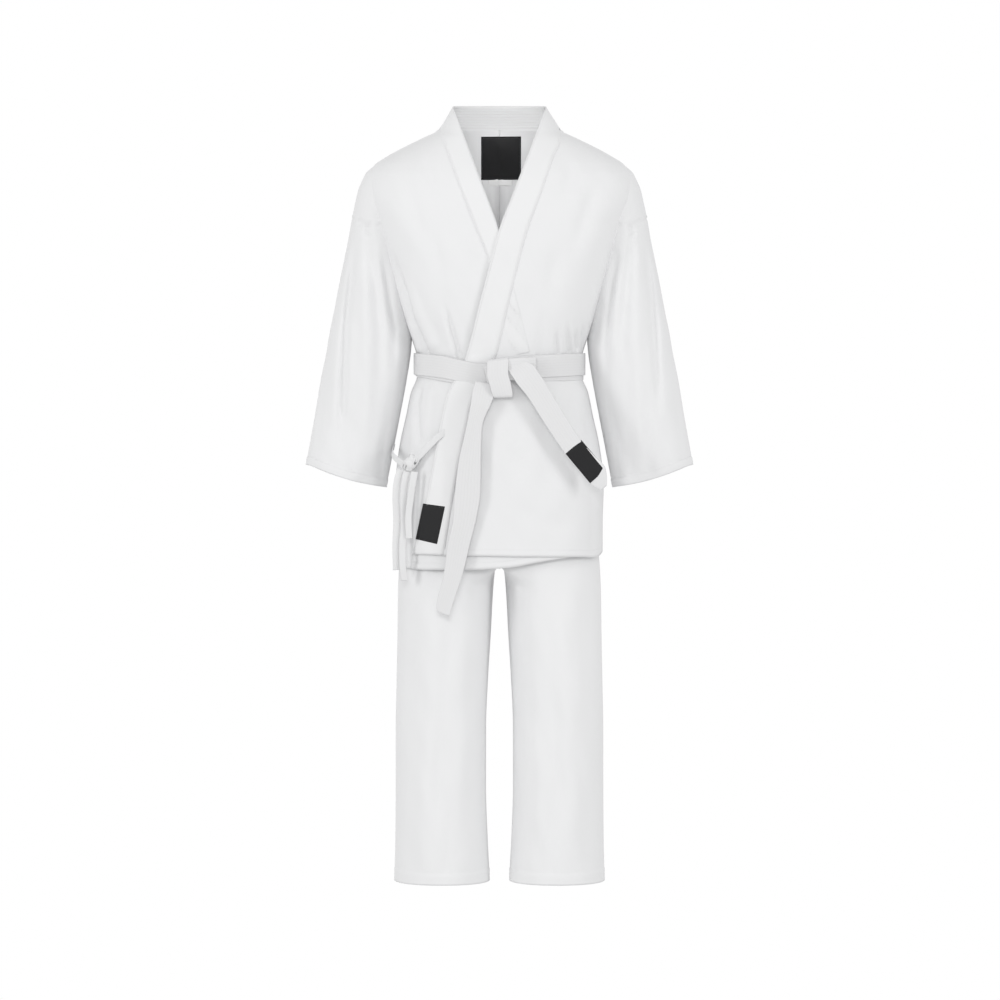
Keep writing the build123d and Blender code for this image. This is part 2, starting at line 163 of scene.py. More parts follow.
def front_y(u, v, folds=True):
    a, b, p = body_a(v), body_b(v), body_p(v)
    r = np.clip(np.abs(u - CX) / a, 0, 1)
    y = -b * (1 - r ** p) ** (1 / p)
    if folds:
        k = 1 - smooth(.9, 1.0, r)
        d = soft_noise(u, v, .0011)
        for pts, wd, dp, tips in FRONT_FOLDS:
            d = d + seg_fold(u, v, pts, wd, dp, tips)
        y = y + d * (.35 + .65 * k)
    return y


def phi_of(u, v):
    r = np.clip((u - CX) / body_a(v), -1, 1)
    return np.sign(r) * (2 / pi) * np.arcsin(np.abs(r) ** (body_p(v) / 2))


def ring_pt(phi, v, side=-1, off=0.0):
    """Point of the body's section: phi -1..1 from the wearer's right to left, side -1 the front."""
    a, b, p = body_a(v), body_b(v), body_p(v)
    s, c = np.sin(phi * pi / 2), np.cos(phi * pi / 2)
    u = CX + np.sign(s) * np.abs(s) ** (2 / p) * (a + off / G)
    y = side * np.abs(c) ** (2 / p) * (b + off)
    return u, y


# ------------------------------------------------------------------ mesh helpers
def make(name, verts, faces, uvs=None):
    me = bpy.data.meshes.new(name)
    me.from_pydata([tuple(p) for p in verts], [], faces)
    me.validate()
    if uvs is not None:
        lay = me.uv_layers.new(name="UVMap")
        idx = np.empty(len(me.loops), int)
        me.loops.foreach_get("vertex_index", idx)
        lay.data.foreach_set("uv", np.asarray(uvs, float)[idx].ravel())
    me.polygons.foreach_set("use_smooth", [True] * len(me.polygons))
    me.update()
    o = bpy.data.objects.new(name, me)
    bpy.context.scene.collection.objects.link(o)
    return o


def grid(name, P, closed=False, flip=False, uv=None, extra=()):
    P = np.asarray(P, float)
    nr, nc = P.shape[:2]
    faces = []
    for i in range(nr - 1):
        for j in range(nc if closed else nc - 1):
            k = (j + 1) % nc
            f = (i * nc + j, i * nc + k, (i + 1) * nc + k, (i + 1) * nc + j)
            faces.append(f[::-1] if flip else f)
    if uv is None:
        d = np.linalg.norm(np.diff(P, axis=0), axis=2)
        vv = np.r_[[np.zeros(nc)], np.cumsum(d, 0)]
        d = np.linalg.norm(np.diff(P, axis=1), axis=2)
        uu = np.concatenate([np.zeros((nr, 1)), np.cumsum(d, 1)], 1)
        uv = np.stack([uu, vv], -1)
    return make(name, P.reshape(-1, 3), faces, np.asarray(uv).reshape(-1, 2))


def bake(o, *mods):
    """Adds modifiers to an object and applies them to its mesh."""
    for kind, args in mods:
        m = o.modifiers.new(kind, kind)
        for k, v in args.items():
            setattr(m, k, v)
    dg = bpy.context.evaluated_depsgraph_get()
    me = bpy.data.meshes.new_from_object(o.evaluated_get(dg))
    o.modifiers.clear()
    old = o.data
    o.data = me
    me.name = o.name
    bpy.data.meshes.remove(old)
    me.polygons.foreach_set("use_smooth", [True] * len(me.polygons))
    return o


def thick(o, t, offset=0.0):
    return bake(o, ("SOLIDIFY", dict(thickness=t, offset=offset, use_even_offset=False, use_quality_normals=True)))


def strip(name, mid, across, normal, t, prof=None, nw=17, closed=False, uvscale=1.0):
    """Closed flat strap: mid, across, normal are arrays along it; across spans half the width."""
    mid, across, normal = (np.asarray(x, float) for x in (mid, across, normal))
    n = len(mid)
    s = np.linspace(-1, 1, nw)
    edge = np.sqrt(np.clip(1 - np.clip((np.abs(s) - .94) / .06, 0, 1) ** 2, 0, 1))
    edge = np.maximum(edge, .12)
    g = np.zeros(nw) if prof is None else prof(s)
    top = mid[:, None] + across[:, None] * s[None, :, None] + normal[:, None] * ((t / 2) * edge - g)[None, :, None]
    bot = mid[:, None] + across[:, None] * s[None, ::-1, None] - normal[:, None] * ((t / 2) * edge[::-1] - g[::-1])[None, :, None]
    P = np.concatenate([top, bot], 1)
    L = np.r_[0, np.cumsum(np.linalg.norm(np.diff(mid, axis=0), axis=1))]
    ww = np.linalg.norm(across, axis=1).mean()
    su = np.r_[s, s[::-1]] * ww
    uv = np.stack(np.broadcast_arrays(su[None, :], L[:, None]), -1)
    nr, nc = P.shape[:2]
    faces = []
    rows = n if closed else n - 1
    for i in range(rows):
        i2 = (i + 1) % n
        for j in range(nc):
            k = (j + 1) % nc
            faces.append((i * nc + j, i * nc + k, i2 * nc + k, i2 * nc + j))
    V = P.reshape(-1, 3)
    if not closed:
        faces.append(tuple(range(nc))[::-1])
        faces.append(tuple(range((n - 1) * nc, n * nc)))
    return make(name, V, faces, uv.reshape(-1, 2))


def stitches(name, lines, pitch=.0034, length=.0024, r=.00032):
    """Sewing thread: short round dashes along polylines given as (points, normals)."""
    V, F = [], []
    for pts, nrm in lines:
        pts, nrm = np.asarray(pts, float), np.asarray(nrm, float)
        L = np.r_[0, np.cumsum(np.linalg.norm(np.diff(pts, axis=0), axis=1))]
        m = int(L[-1] / pitch)
        if m < 1:
            continue
        c = (np.arange(m) + .5) * L[-1] / m
        for q in c:
            a = np.array([np.interp(q - length / 2, L, pts[:, k]) for k in range(3)])
            b = np.array([np.interp(q + length / 2, L, pts[:, k]) for k in range(3)])
            n = np.array([np.interp(q, L, nrm[:, k]) for k in range(3)])
            n /= np.linalg.norm(n) + 1e-9
            d = b - a
            d /= np.linalg.norm(d) + 1e-9
            s = np.cross(d, n)
            base = len(V)
            for f, rr, lift in ((0, .25, .15), (.25, 1, .75), (.75, 1, .75), (1, .25, .15)):
                m0 = a + (b - a) * f + n * r * lift
                for an in (0, 1.2566, 2.5133, 3.7699, 5.0265):
                    V.append(m0 + (s * cos(an) + n * sin(an)) * r * rr)
            for i in range(3):
                for j in range(5):
                    k = (j + 1) % 5
                    F.append((base + i * 5 + j, base + i * 5 + k, base + i * 5 + 5 + k, base + i * 5 + 5 + j))
            F.append((base + 4, base + 3, base + 2, base + 1, base))
            F.append((base + 15, base + 16, base + 17, base + 18, base + 19))
    return make(name, V, F, np.zeros((len(V), 2)))


# ------------------------------------------------------------------ materials
def mat(name, base, rough=.85, sheen=.25, weave=1300., bump=.25, kind="plain", vary=.02, spec=.25):
    m = bpy.data.materials.new(name)
    m.use_nodes = True
    nt = m.node_tree
    N, Lk = nt.nodes, nt.links
    N.clear()
    out = N.new("ShaderNodeOutputMaterial")
    bs = N.new("ShaderNodeBsdfPrincipled")
    Lk.new(bs.outputs[0], out.inputs[0])
    bs.inputs["Roughness"].default_value = rough
    bs.inputs["Sheen Weight"].default_value = sheen
    bs.inputs["Sheen Roughness"].default_value = .5
    bs.inputs["Specular IOR Level"].default_value = spec
    tc = N.new("ShaderNodeTexCoord")
    co = tc.outputs["UV"] if kind in ("belt", "tape", "stitched", "cord") else tc.outputs["Object"]

    def mth(op, a, b=None, c=None):
        n = N.new("ShaderNodeMath")
        n.operation = op
        for i, x in enumerate((a, b, c)):
            if x is None:
                continue
            if isinstance(x, (int, float)):
                n.inputs[i].default_value = x
            else:
                Lk.new(x, n.inputs[i])
        return n.outputs[0]

    sep = N.new("ShaderNodeSeparateXYZ")
    Lk.new(co, sep.inputs[0])
    X, Y, Z = sep.outputs
    nz = N.new("ShaderNodeTexNoise")
    nz.inputs["Scale"].default_value = 5.0
    nz.inputs["Detail"].default_value = 6.0
    nz.inputs["Roughness"].default_value = .62
    Lk.new(tc.outputs["Object"], nz.inputs["Vector"])
    fine = N.new("ShaderNodeTexNoise")
    fine.inputs["Scale"].default_value = 420.0
    fine.inputs["Detail"].default_value = 3.0
    Lk.new(tc.outputs["Object"], fine.inputs["Vector"])
    if kind == "belt":
        # cross ribs of the belt's cover, with rows of lengthwise stitching
        rib = mth("MULTIPLY", mth("ABSOLUTE", mth("SINE", mth("MULTIPLY", Y, 2 * pi * 420))), 1.0)
        row = mth("POWER", mth("ABSOLUTE", mth("COSINE", mth("MULTIPLY", X, pi / .0048))), 26.0)
        dash = mth("GREATER_THAN", mth("SINE", mth("MULTIPLY", Y, 2 * pi / .0036)), -.35)
        height = mth("ADD", mth("MULTIPLY", rib, .8), mth("MULTIPLY", mth("MULTIPLY", row, dash), -.5))
        dark = mth("ADD", mth("MULTIPLY", row, .03), mth("MULTIPLY", rib, .02))
    elif kind == "tape":
        tw = mth("ABSOLUTE", mth("SINE", mth("ADD", mth("MULTIPLY", Y, 2 * pi * 500), mth("MULTIPLY", mth("ABSOLUTE", X), 2600.0))))
        height = mth("MULTIPLY", tw, .6)
        dark = mth("MULTIPLY", tw, .03)
    elif kind == "label":
        a = mth("SINE", mth("MULTIPLY", X, 2 * pi * 1700))
        b = mth("SINE", mth("MULTIPLY", Z, 2 * pi * 1500))
        height = mth("MULTIPLY", mth("MULTIPLY", a, b), .5)
        dark = mth("MULTIPLY", mth("ABSOLUTE", a), .15)
    else:
        # plain weave: warp and weft threads that pass over each other, on three axes
        # so that it holds on every side of the body
        sx = mth("SINE", mth("MULTIPLY", mth("ADD", X, mth("MULTIPLY", Y, .9)), weave * 2))
        sz = mth("SINE", mth("MULTIPLY", Z, weave * 2))
        height = mth("ADD", mth("MULTIPLY", mth("MULTIPLY", sx, sz), .5), mth("MULTIPLY", fine.outputs["Fac"], .9))
        dark = mth("MULTIPLY", mth("MULTIPLY", sx, sz), .012)
    var = mth("MULTIPLY", mth("SUBTRACT", nz.outputs["Fac"], .5), vary * 2)
    val = mth("SUBTRACT", mth("ADD", 1.0, var), dark)
    col = N.new("ShaderNodeMix")
    col.data_type = "RGBA"
    col.blend_type = "MULTIPLY"
    col.inputs[0].default_value = 1.0
    col.inputs[6].default_value = (*base, 1)
    comb = N.new("ShaderNodeCombineColor")
    for i in range(3):
        Lk.new(val, comb.inputs[i])
    Lk.new(comb.outputs[0], col.inputs[7])
    Lk.new(col.outputs[2], bs.inputs["Base Color"])
    rg = mth("ADD", rough - .04, mth("MULTIPLY", fine.outputs["Fac"], .08))
    Lk.new(rg, bs.inputs["Roughness"])
    bp = N.new("ShaderNodeBump")
    bp.inputs["Strength"].default_value = bump
    bp.inputs["Distance"].default_value = .0004
    Lk.new(height, bp.inputs["Height"])
    Lk.new(bp.outputs[0], bs.inputs["Normal"])
    return m


COTTON = mat("cotton_drill", (.755, .757, .762), vary=.018, bump=.22)
COTTON_LEG = mat("trouser_drill", (.775, .777, .782), vary=.02, bump=.22)
BANDING = mat("lapel_drill", (.765, .767, .771), vary=.015, bump=.22)
BELT = mat("belt_cotton", (.725, .725, .73), kind="belt", bump=.45, rough=.8)
TAPE = mat("twill_tape", (.74, .742, .746), kind="tape", bump=.4)
LABEL = mat("label_black", (.012, .012, .013), kind="label", rough=.55, sheen=.05, bump=.25, vary=.2)
LABELW = mat("label_white", (.86, .86, .86), kind="label", rough=.6, sheen=.05, bump=.2)
THREAD = mat("sewing_thread", (.72, .72, .725), kind="tape", rough=.6, bump=.2)
THREADB = mat("label_thread", (.03, .03, .032), kind="tape", rough=.6, bump=.2)
ELASTIC = mat("elastic", (.8, .8, .8), kind="belt", bump=.4)
METAL = mat("eyelet", (.6, .6, .6), rough=.35, sheen=0, bump=.05)


def done(o, material, body, slot, *nodes):
    o.data.materials.clear()
    o.data.materials.append(material)
    if body:
        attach(o, body)
    if nodes:
        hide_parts(*nodes)
    return o

# ------------------------------------------------------------------ outline tables
LAP_L_IN = [(109, 545.5), (120, 541.3), (150, 529.8), (190, 514.4), (230, 499), (262, 490.5), (300, 480.5), (359, 465),
            (372, 459), (395, 447), (440, 437.5), (491, 428), (530, 420), (556, 411)]
LAP_L_OUT = [(109, 549), (120, 554), (132, 559.8), (143, 559.5), (157, 553.5), (175, 547.5), (194, 541), (231, 527.5), (264, 518.5), (309, 507.5),
             (357, 496), (372, 489), (395, 475), (440, 464), (491, 454.5), (530, 448), (556, 444)]
LAP_R_IN = [(109, 453.5), (120, 457.7), (150, 469.2), (190, 484.3), (230, 499), (262, 508), (300, 518), (359, 533)]
LAP_R_OUT = [(109, 450), (120, 445), (132, 440), (140.5, 443.2), (170, 453.5), (194, 462.4), (230, 476.5), (262, 489), (300, 498), (359, 508)]
HEM_OVER = [(408, 553.8), (430, 555.3), (450, 556.3), (475, 556.6), (540, 557.4), (590, 557.5), (598, 556.5), (602, 553), (604, 547)]
HEM_UNDER = [(392, 566.5), (400, 568), (430, 570.5), (466, 570.5), (506, 568.5), (541, 562.5), (575, 557), (604, 553)]


def drop(u, tab):
    return curve(tab, u)


# ------------------------------------------------------------------ jacket fronts
SHOULDER_TOP = 131.5
HEMS = []


def line_at(P, H, value):
    """Line on a drafted surface at a given distance from its hem, with outward normals."""
    pts = []
    for j in range(P.shape[1]):
        h = H[:, j]
        k = np.nonzero((h[:-1] > value) & (h[1:] <= value) & (h[:-1] < 90))[0]
        if len(k):
            i = int(k[0])
            f = (h[i] - value) / (h[i] - h[i + 1])
            pts.append(P[i, j] * (1 - f) + P[i + 1, j] * f)
    pts = np.array(pts).reshape(-1, 3)
    c = (P[-1].max(0) + P[-1].min(0)) / 2
    half = (P[-1].max(0) - P[-1].min(0)) / 2 + 1e-6
    n = np.stack([(pts[:, 0] - c[0]) / half[0] ** 2, (pts[:, 1] - c[1]) / max(half[1], .04) ** 2, pts[:, 0] * 0], 1)
    n /= np.linalg.norm(n, axis=1)[:, None] + 1e-9
    return pts, n


def front_panel(name, side):
    """side +1 the left front, which crosses over on top; -1 the right front beneath it."""
    nr, nc = 190, 150
    P = np.zeros((nr, nc, 3))
    H = np.zeros((nr, nc))
    tab = LAP_L_IN if side > 0 else LAP_R_IN
    off = .0006 if side > 0 else .0042
    for i in range(nr):
        f = (i / (nr - 1)) ** 1.25
        v0 = SHOULDER_TOP + (556.0 - SHOULDER_TOP) * f
        vv = np.full(nc, v0)
        if side > 0:
            ue = float(curve(tab, v0)) + 5.0
        else:
            ue = float(curve(tab, v0)) - 5.0 if v0 < 230 else min(float(np.interp(v0, [230, 359, 395, 491, 560], [494, 528, 545, 560, 575])), 590)
        pe = float(phi_of(ue, v0))
        q = np.linspace(0, 1, nc)
        phi = pe + (1 - pe) * q if side > 0 else -1 + (pe + 1) * q
        # the hem follows its own line: the last rows are stretched to it
        u, _ = ring_pt(phi, vv, -1)
        hem = drop(u, HEM_OVER if side > 0 else HEM_UNDER)
        start = 430.0
        if v0 > start:
            vv = start + (v0 - start) * (hem - start) / (556.0 - start)
        u, y0 = ring_pt(phi, vv, -1)
        yb, yf = front_y(u, vv, False), front_y(u, vv)
        d = yf - yb
        a_, b_, p_ = body_a(vv) * G, body_b(vv), body_p(vv)
        gx = (np.abs(u - CX) * G / a_) ** (p_ - 1) / a_
        gy = (np.abs(yb) / b_) ** (p_ - 1) / b_
        gl = np.hypot(gx, gy) + 1e-9
        rr = np.abs(u - CX) * G / a_
        y = yb + d * np.maximum(gy / gl, .35)
        u = u - np.sign(u - CX) * d * gx / gl / G * 1.25 * (1 - smooth(.965, 1.0, rr))
        # under the crossing front the right one lies deeper
        y = y + off * (1 if side > 0 else 1)
        # hem: a turned edge, slightly proud, with its stitch line
        h = (hem - vv) if v0 > start else np.full(nc, 99.)
        y = y - .0010 * (1 - smooth(6.5, 7.6, h)) + .0009 * np.exp(-((h - 7.3) / .55) ** 2)
        P[i] = w(u, vv, y)
        H[i] = h
    HEMS.append(line_at(P, H, 7.0))
    o = grid(name, P, flip=(True))
    return thick(o, .0013, -1)


fl = done(front_panel("left_front_cloth", 1), COTTON, "jacket", "cotton", "front_panel_left")
fr = done(front_panel("right_front_cloth", -1), COTTON, "jacket", "cotton", "front_panel_right")


# ------------------------------------------------------------------ jacket back
BACK_FOLDS = (([(460, 200), (470, 350)], 10, .004), ([(540, 190), (528, 350)], 10, .004), ([(430, 240), (452, 352)], 7, .005),
              ([(570, 240), (548, 352)], 7, .005), ([(480, 300), (484, 352)], 5, .003), ([(515, 300), (512, 352)], 5, .003),
              ([(450, 384), (440, 520)], 9, .004), ([(548, 384), (560, 520)], 9, .004), ([(499, 384), (497, 500)], 10, .003))


def back_shift(u, v):
    """How far the back's cloth dips towards the wearer."""
    d = soft_noise(u * 1.2 + 31, v, .0016)
    for pts, wd, dp in BACK_FOLDS:
        d = d + seg_fold(u, v, pts, wd, dp, (.4, .3))
    d = d + .0010 * np.exp(-((u - CX) / .9) ** 2)
    k = 1 - smooth(.88, 1.0, np.clip(np.abs(u - CX) / body_a(v), 0, 1))
    return d * (.3 + .7 * k) * smooth(131, 150, v)


def back_panel(name, side):
    nr, nc = 150, 90
    P = np.zeros((nr, nc, 3))
    H = np.zeros((nr, nc))
    for i in range(nr):
        f = (i / (nr - 1)) ** 1.25
        v0 = SHOULDER_TOP + (556.0 - SHOULDER_TOP) * f
        vv = np.full(nc, v0)
        phi = np.linspace(0, side, nc)
        if v0 > 430:
            u, yb = ring_pt(phi, vv, 1)
            hem = vz(-.786 + (.024 * smooth(.55, 1.0, phi) if side > 0 else 0), yb)
            hem_now = hem
            vv = 430 + (v0 - 430) * (hem - 430) / (556.0 - 430)
        u, y = ring_pt(phi, vv, 1)
        y = y - back_shift(u, vv)
        h = hem_now - vv if v0 > 430 else np.full(nc, 99.)
        y = y + .0010 * (1 - smooth(6.5, 7.6, h)) - .0009 * np.exp(-((h - 7.3) / .55) ** 2)
        P[i] = w(u, vv, y)
        H[i] = h
    HEMS.append(line_at(P, H, 7.0))
    o = grid(name, P, flip=(side < 0))
    return thick(o, .0014, -1)


br = done(back_panel("right_back_cloth", -1), COTTON, "jacket", "cotton", "back_panel_right")
bl = done(back_panel("left_back_cloth", 1), COTTON, "jacket", "cotton", "back_panel_left")


# ------------------------------------------------------------------ sleeves
# grid height, outer edge, inner edge, half depth, depth of the centre
SLV = [
    (160, 386, 440, .048, .006), (166, 377, 438, .055, .005), (174, 367.4, 436, .060, .004), (182, 363.2, 432, .063, .004), (190, 359.7, 428, .063, .004), (201, 357.0, 420, .063, .004),
    (219, 353.1, 411, .062, .004), (240, 349.4, 407, .061, .004), (260, 345.2, 408, .060, .004), (281, 340.8, 411, .060, .003),
    (310, 335.2, 412.5, .059, .002), (335, 330.0, 412.5, .058, .0), (350, 327.5, 411.5, .058, .0), (380, 321.3, 407, .057, .0),
    (416, 315.2, 400.2, .056, .0), (452, 308.5, 393.2, .054, .0), (495, 300.5, 385.0, .052, .0),
]
SLV_FOLDS = [
    ([(357, 232), (352, 280), (346, 330), (343, 400), (340, 460)], 3.6, .0050, (.2, .3)),
    ([(350, 240), (343, 300), (336, 360), (331, 440)], 4.5, -.0028, (.3, .3)),
    ([(366, 228), (374, 275), (380, 330), (381, 400)], 4.6, .0042, (.25, .5)),
    ([(363, 240), (366, 300), (368, 380), (364, 460)], 7.0, -.0034, (.3, .3)),
    ([(380, 240), (388, 285), (394, 330), (393, 400)], 4.0, .0040, (.3, .5)),
    ([(372, 224), (366, 232), (372, 240)], 2.5, .0022, (.3, .3)),
    ([(357, 222), (372, 229)], 2.5, .0020, (.2, .2)),
    ([(395, 380), (384, 440), (378, 484)], 4.0, .0026, (.5, .1)),
    ([(330, 330), (322, 400), (316, 455)], 4.0, .0024, (.5, .3)),
    ([(352, 400), (350, 440), (352, 478)], 5.5, .0018, (.4, .1)),
]
SLV_FOLDS_L = [
    ([(642, 232), (650, 290), (655, 350), (660, 430)], 3.8, .0046, (.2, .4)),
    ([(650, 240), (658, 300), (666, 380)], 4.5, -.0026, (.3, .4)),
    ([(632, 228), (627, 280), (622, 330), (624, 390)], 4.6, .0040, (.25, .5)),
    ([(637, 240), (636, 310), (638, 400), (641, 470)], 7.0, -.0030, (.3, .3)),
    ([(618, 240), (611, 290), (606, 340), (607, 400)], 4.0, .0042, (.3, .5)),
    ([(626, 224), (633, 233), (628, 242)], 2.5, .0022, (.3, .3)),
    ([(643, 222), (627, 229)], 2.5, .0020, (.2, .2)),
    ([(604, 380), (615, 440), (622, 484)], 4.0, .0024, (.5, .1)),
    ([(668, 330), (676, 400), (683, 455)], 4.0, .0022, (.5, .3)),
    ([(646, 410), (650, 450), (648, 478)], 5.5, .0020, (.4, .1)),
]


SLEEVE_HEMS = []


def sleeve(name, side):
    """side -1 the wearer's right sleeve; the left one is drafted mirrored with folds of its own."""
    nr, nc = 170, 120
    P = np.zeros((nr, nc, 3))
    H = np.zeros((nr, nc))
    t = np.linspace(0, 2 * pi, nc, endpoint=False)
    for i in range(nr):
        f = i / (nr - 1)
        v0 = 160 + (495 - 160) * f
        c = np.cos(t)
        # the cuff slopes down towards the body: outer edge 465.7, inner edge 487.5
        uo, ui = curve(SLV, v0, 1), curve(SLV, v0, 2)
        uu = (uo + ui) / 2 + (ui - uo) / 2 * np.sign(c) * np.abs(c) ** (2 / 2.15)
        cuff = 465.7 + (uu - 306) * (487.5 - 465.7) / 81.0 + 3.2 * np.sin(np.clip((uu - 306) / 81, 0, 1) * pi)
        st = 380.0
        vv = np.full(nc, v0)
        if v0 > st:
            vv = st + (v0 - st) * (cuff - st) / (495 - st)
        for _ in range(2):
            uo, ui = curve(SLV, vv, 1), curve(SLV, vv, 2)
            uu = (uo + ui) / 2 + (ui - uo) / 2 * np.sign(c) * np.abs(c) ** (2 / 2.15)
        b, yc = curve(SLV, vv, 3), curve(SLV, vv, 4)
        s = np.sin(t)
        y = yc - np.sign(s) * np.abs(s) ** (2 / 2.15) * b
        cu = uu if side < 0 else 2 * CX - uu
        d = soft_noise(cu * 1.3, vv, .0011)
        for pts, wd, dp, tips in (SLV_FOLDS if side < 0 else SLV_FOLDS_L):
            d = d + seg_fold(cu, vv, pts, wd, dp * 1.45, tips)
        frontness = smooth(-.15, .5, s)
        db = soft_noise(cu * 1.3 + 57, vv, .0016) + .003 * np.sin(uu * .16 + vv * .012) * smooth(230, 330, vv) * (1 - smooth(440, 480, vv))
        y = y + frontness * d - (1 - frontness) * smooth(.15, -.5, s) * db
        # seam to the shoulder: a small ridge where the sleeve is set on
        sm = vv - (218.5 + (uu - 353) * .22)
        ridge = .0012 * np.exp(-((sm + .8) / .8) ** 2) - .0012 * np.exp(-((sm - .9) / .7) ** 2)
        h = cuff - vv if v0 > st else np.full(nc, 99.)
        ridge = ridge + .0009 * (1 - smooth(8.2, 9.2, h)) - .0008 * np.exp(-((h - 8.9) / .5) ** 2) - .0006 * np.exp(-((h - 1.6) / .4) ** 2)
        y = y - ridge * s
        uu = uu + ridge * c / G
        P[i] = w(uu if side < 0 else 2 * CX - uu, vv, y)
        H[i] = h
    SLEEVE_HEMS.append((side, line_at(P, H, 8.6)))
    o = grid(name, P, closed=True, flip=(side > 0))
    # the sleeve is open towards the chest where it is set into the jacket
    import bmesh
    bm = bmesh.new()
    bm.from_mesh(o.data)
    gone = []
    for x in bm.verts:
        kk = (D + x.co.y) / D
        uu_ = x.co.x / (G * kk)
        v_ = float(vz(x.co.z, x.co.y))
        if v_ < 222:
            q = (abs(uu_) / float(body_a(v_))) ** float(body_p(v_)) + (abs(x.co.y) / float(body_b(v_))) ** float(body_p(v_))
            if q < .80:
                gone.append(x)
    bmesh.ops.delete(bm, geom=gone, context="VERTS")
    bm.to_mesh(o.data)
    bm.free()
    return thick(o, .0015, -1)


def sleeve_blend(o):
    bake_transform(o)
    co = np.empty(len(o.data.vertices) * 3)
    o.data.vertices.foreach_get("co", co)
    co = co.reshape(-1, 3)


for side, tag, body in ((-1, "right", "right_sleeve"), (1, "left", "left_sleeve")):
    o = sleeve(f"{tag}_sleeve_cloth", side)
    done(o, COTTON, None, "cotton", f"sleeve_{tag}", f"cuff_hem_{tag}")
    sleeve_blend(o)

# ------------------------------------------------------------------ lapels and collar
DELTA = [(109, 22.0), (120, 17), (135, 12), (160, 9), (230, 6.5), (300, 6), (359, 5), (395, 4), (491, 3), (556, .8)]


def lapel(name, tin, tout, v0, v1, lift, side, rows=170, proud=.0034):
    nw = 25
    s = np.linspace(0, 1, nw)
    e = np.minimum(s, 1 - s) * 50.0            # millimetres from the nearer edge
    edge = np.sqrt(np.clip(1 - np.clip(1 - e / 1.8, 0, 1) ** 2, .05, 1))
    eo = (1 - s) * 50.0
    edge = edge * (.34 + .66 * smooth(0, 7.0, eo))
    groove = .0002 * np.exp(-((e - 3.2) / .7) ** 2)
    T, B = [], []
    for i in range(rows):
        vi = v0 + (v1 - v0) * i / (rows - 1)
        vo = vi + float(curve(DELTA, vi))
        if v1 > 500:
            vo = min(vo, 556.3) if vi > 540 else vo
        ui, uo = float(curve(tin, vi)), float(curve(tout, vo))
        u, v = ui + (uo - ui) * s, vi + (vo - vi) * s
        y = front_y(u, v)
        y = y + lift
        T.append(w(u, v, y - proud * edge + groove))
        B.append(w(u, v, y + .0002))
    T, B = np.array(T), np.array(B)
    P = np.concatenate([T, B[:, ::-1]], 1)
    nr, nc = P.shape[:2]
    F = []
    for i in range(nr - 1):
        for j in range(nc):
            k = (j + 1) % nc
            f = (i * nc + j, i * nc + k, (i + 1) * nc + k, (i + 1) * nc + j)
            F.append(f if side < 0 else f[::-1])
    F.append(tuple(range(nc))[::(-1 if side < 0 else 1)])
    F.append(tuple(range((nr - 1) * nc, nr * nc))[::(1 if side < 0 else -1)])
    o = make(name, P.reshape(-1, 3), F, np.zeros((nr * nc, 2)))
    lines = []
    for q in (.065, .935):
        j = q * (nw - 1)
        j0 = int(j)
        L = T[:, j0] * (1 - (j - j0)) + T[:, j0 + 1] * (j - j0)
        lines.append((L, np.tile([0, -1.0, 0], (len(L), 1))))
    return o, lines


ll, ln1 = lapel("left_lapel", LAP_L_IN, LAP_L_OUT, 109, 554.6, .0004, 1)
done(ll, BANDING, "jacket", "cotton", "lapel_left")
lr, ln2 = lapel("right_lapel", LAP_R_IN, LAP_R_OUT, 109, 352, .0040, -1)
done(lr, BANDING, "jacket", "cotton", "lapel_right")
st = stitches("lapel_stitching", ln1 + ln2)
done(st, THREAD, "jacket", "cotton")


def collar(name):
    nphi, nv = 90, 60
    phi = np.linspace(-1, 1, nphi)
    vs = np.linspace(109.0, 133.5, nv)
    Vo, Vi = [], []
    for i, v in enumerate(vs):
        u, y = ring_pt(phi, np.full(nphi, v), 1, .0022)
        Vo.append(w(u, np.full(nphi, v), y))
        gro = .0006 * max(np.exp(-((v - c) / .45) ** 2) for c in (111.5, 114.2, 116.9, 119.6, 122.3, 125.0, 127.7, 130.4))
        u, y = ring_pt(phi, np.full(nphi, v), 1, -.0012 + gro)
        Vi.append(w(u, np.full(nphi, v), y))
    # rounded upper edge between the two faces
    Vo, Vi = np.array(Vo), np.array(Vi)
    top = [(Vo[0] * (1 - k) + Vi[0] * k) + np.array([0, 0, .0014 * sin(pi * k)]) for k in (.2, .5, .8)]
    P = np.concatenate([Vo[::-1], np.array(top), Vi], 0)
    F = []
    nr, nc = P.shape[:2]
    for i in range(nr):
        for j in range(nc - 1):
            i2 = (i + 1) % nr
            F.append((i * nc + j, i * nc + j + 1, i2 * nc + j + 1, i2 * nc + j))
    F.append(tuple(i * nc for i in range(nr)))
    F.append(tuple(i * nc + nc - 1 for i in range(nr))[::-1])
    o = make(name, P.reshape(-1, 3), F, np.zeros((nr * nc, 2)))
    lines = []
    for c in (111.5, 114.2, 116.9, 119.6, 122.3, 125.0, 127.7, 130.4):
        u, y = ring_pt(phi, np.full(nphi, c), 1, -.0010)
        lines.append((w(u, np.full(nphi, c), y), np.tile([0, -1.0, 0], (nphi, 1))))
    return o, lines


cb, cl = collar("collar")
done(cb, BANDING, "jacket", "cotton", "collar_band")
done(stitches("collar_stitching", cl), THREAD, "jacket", "cotton")


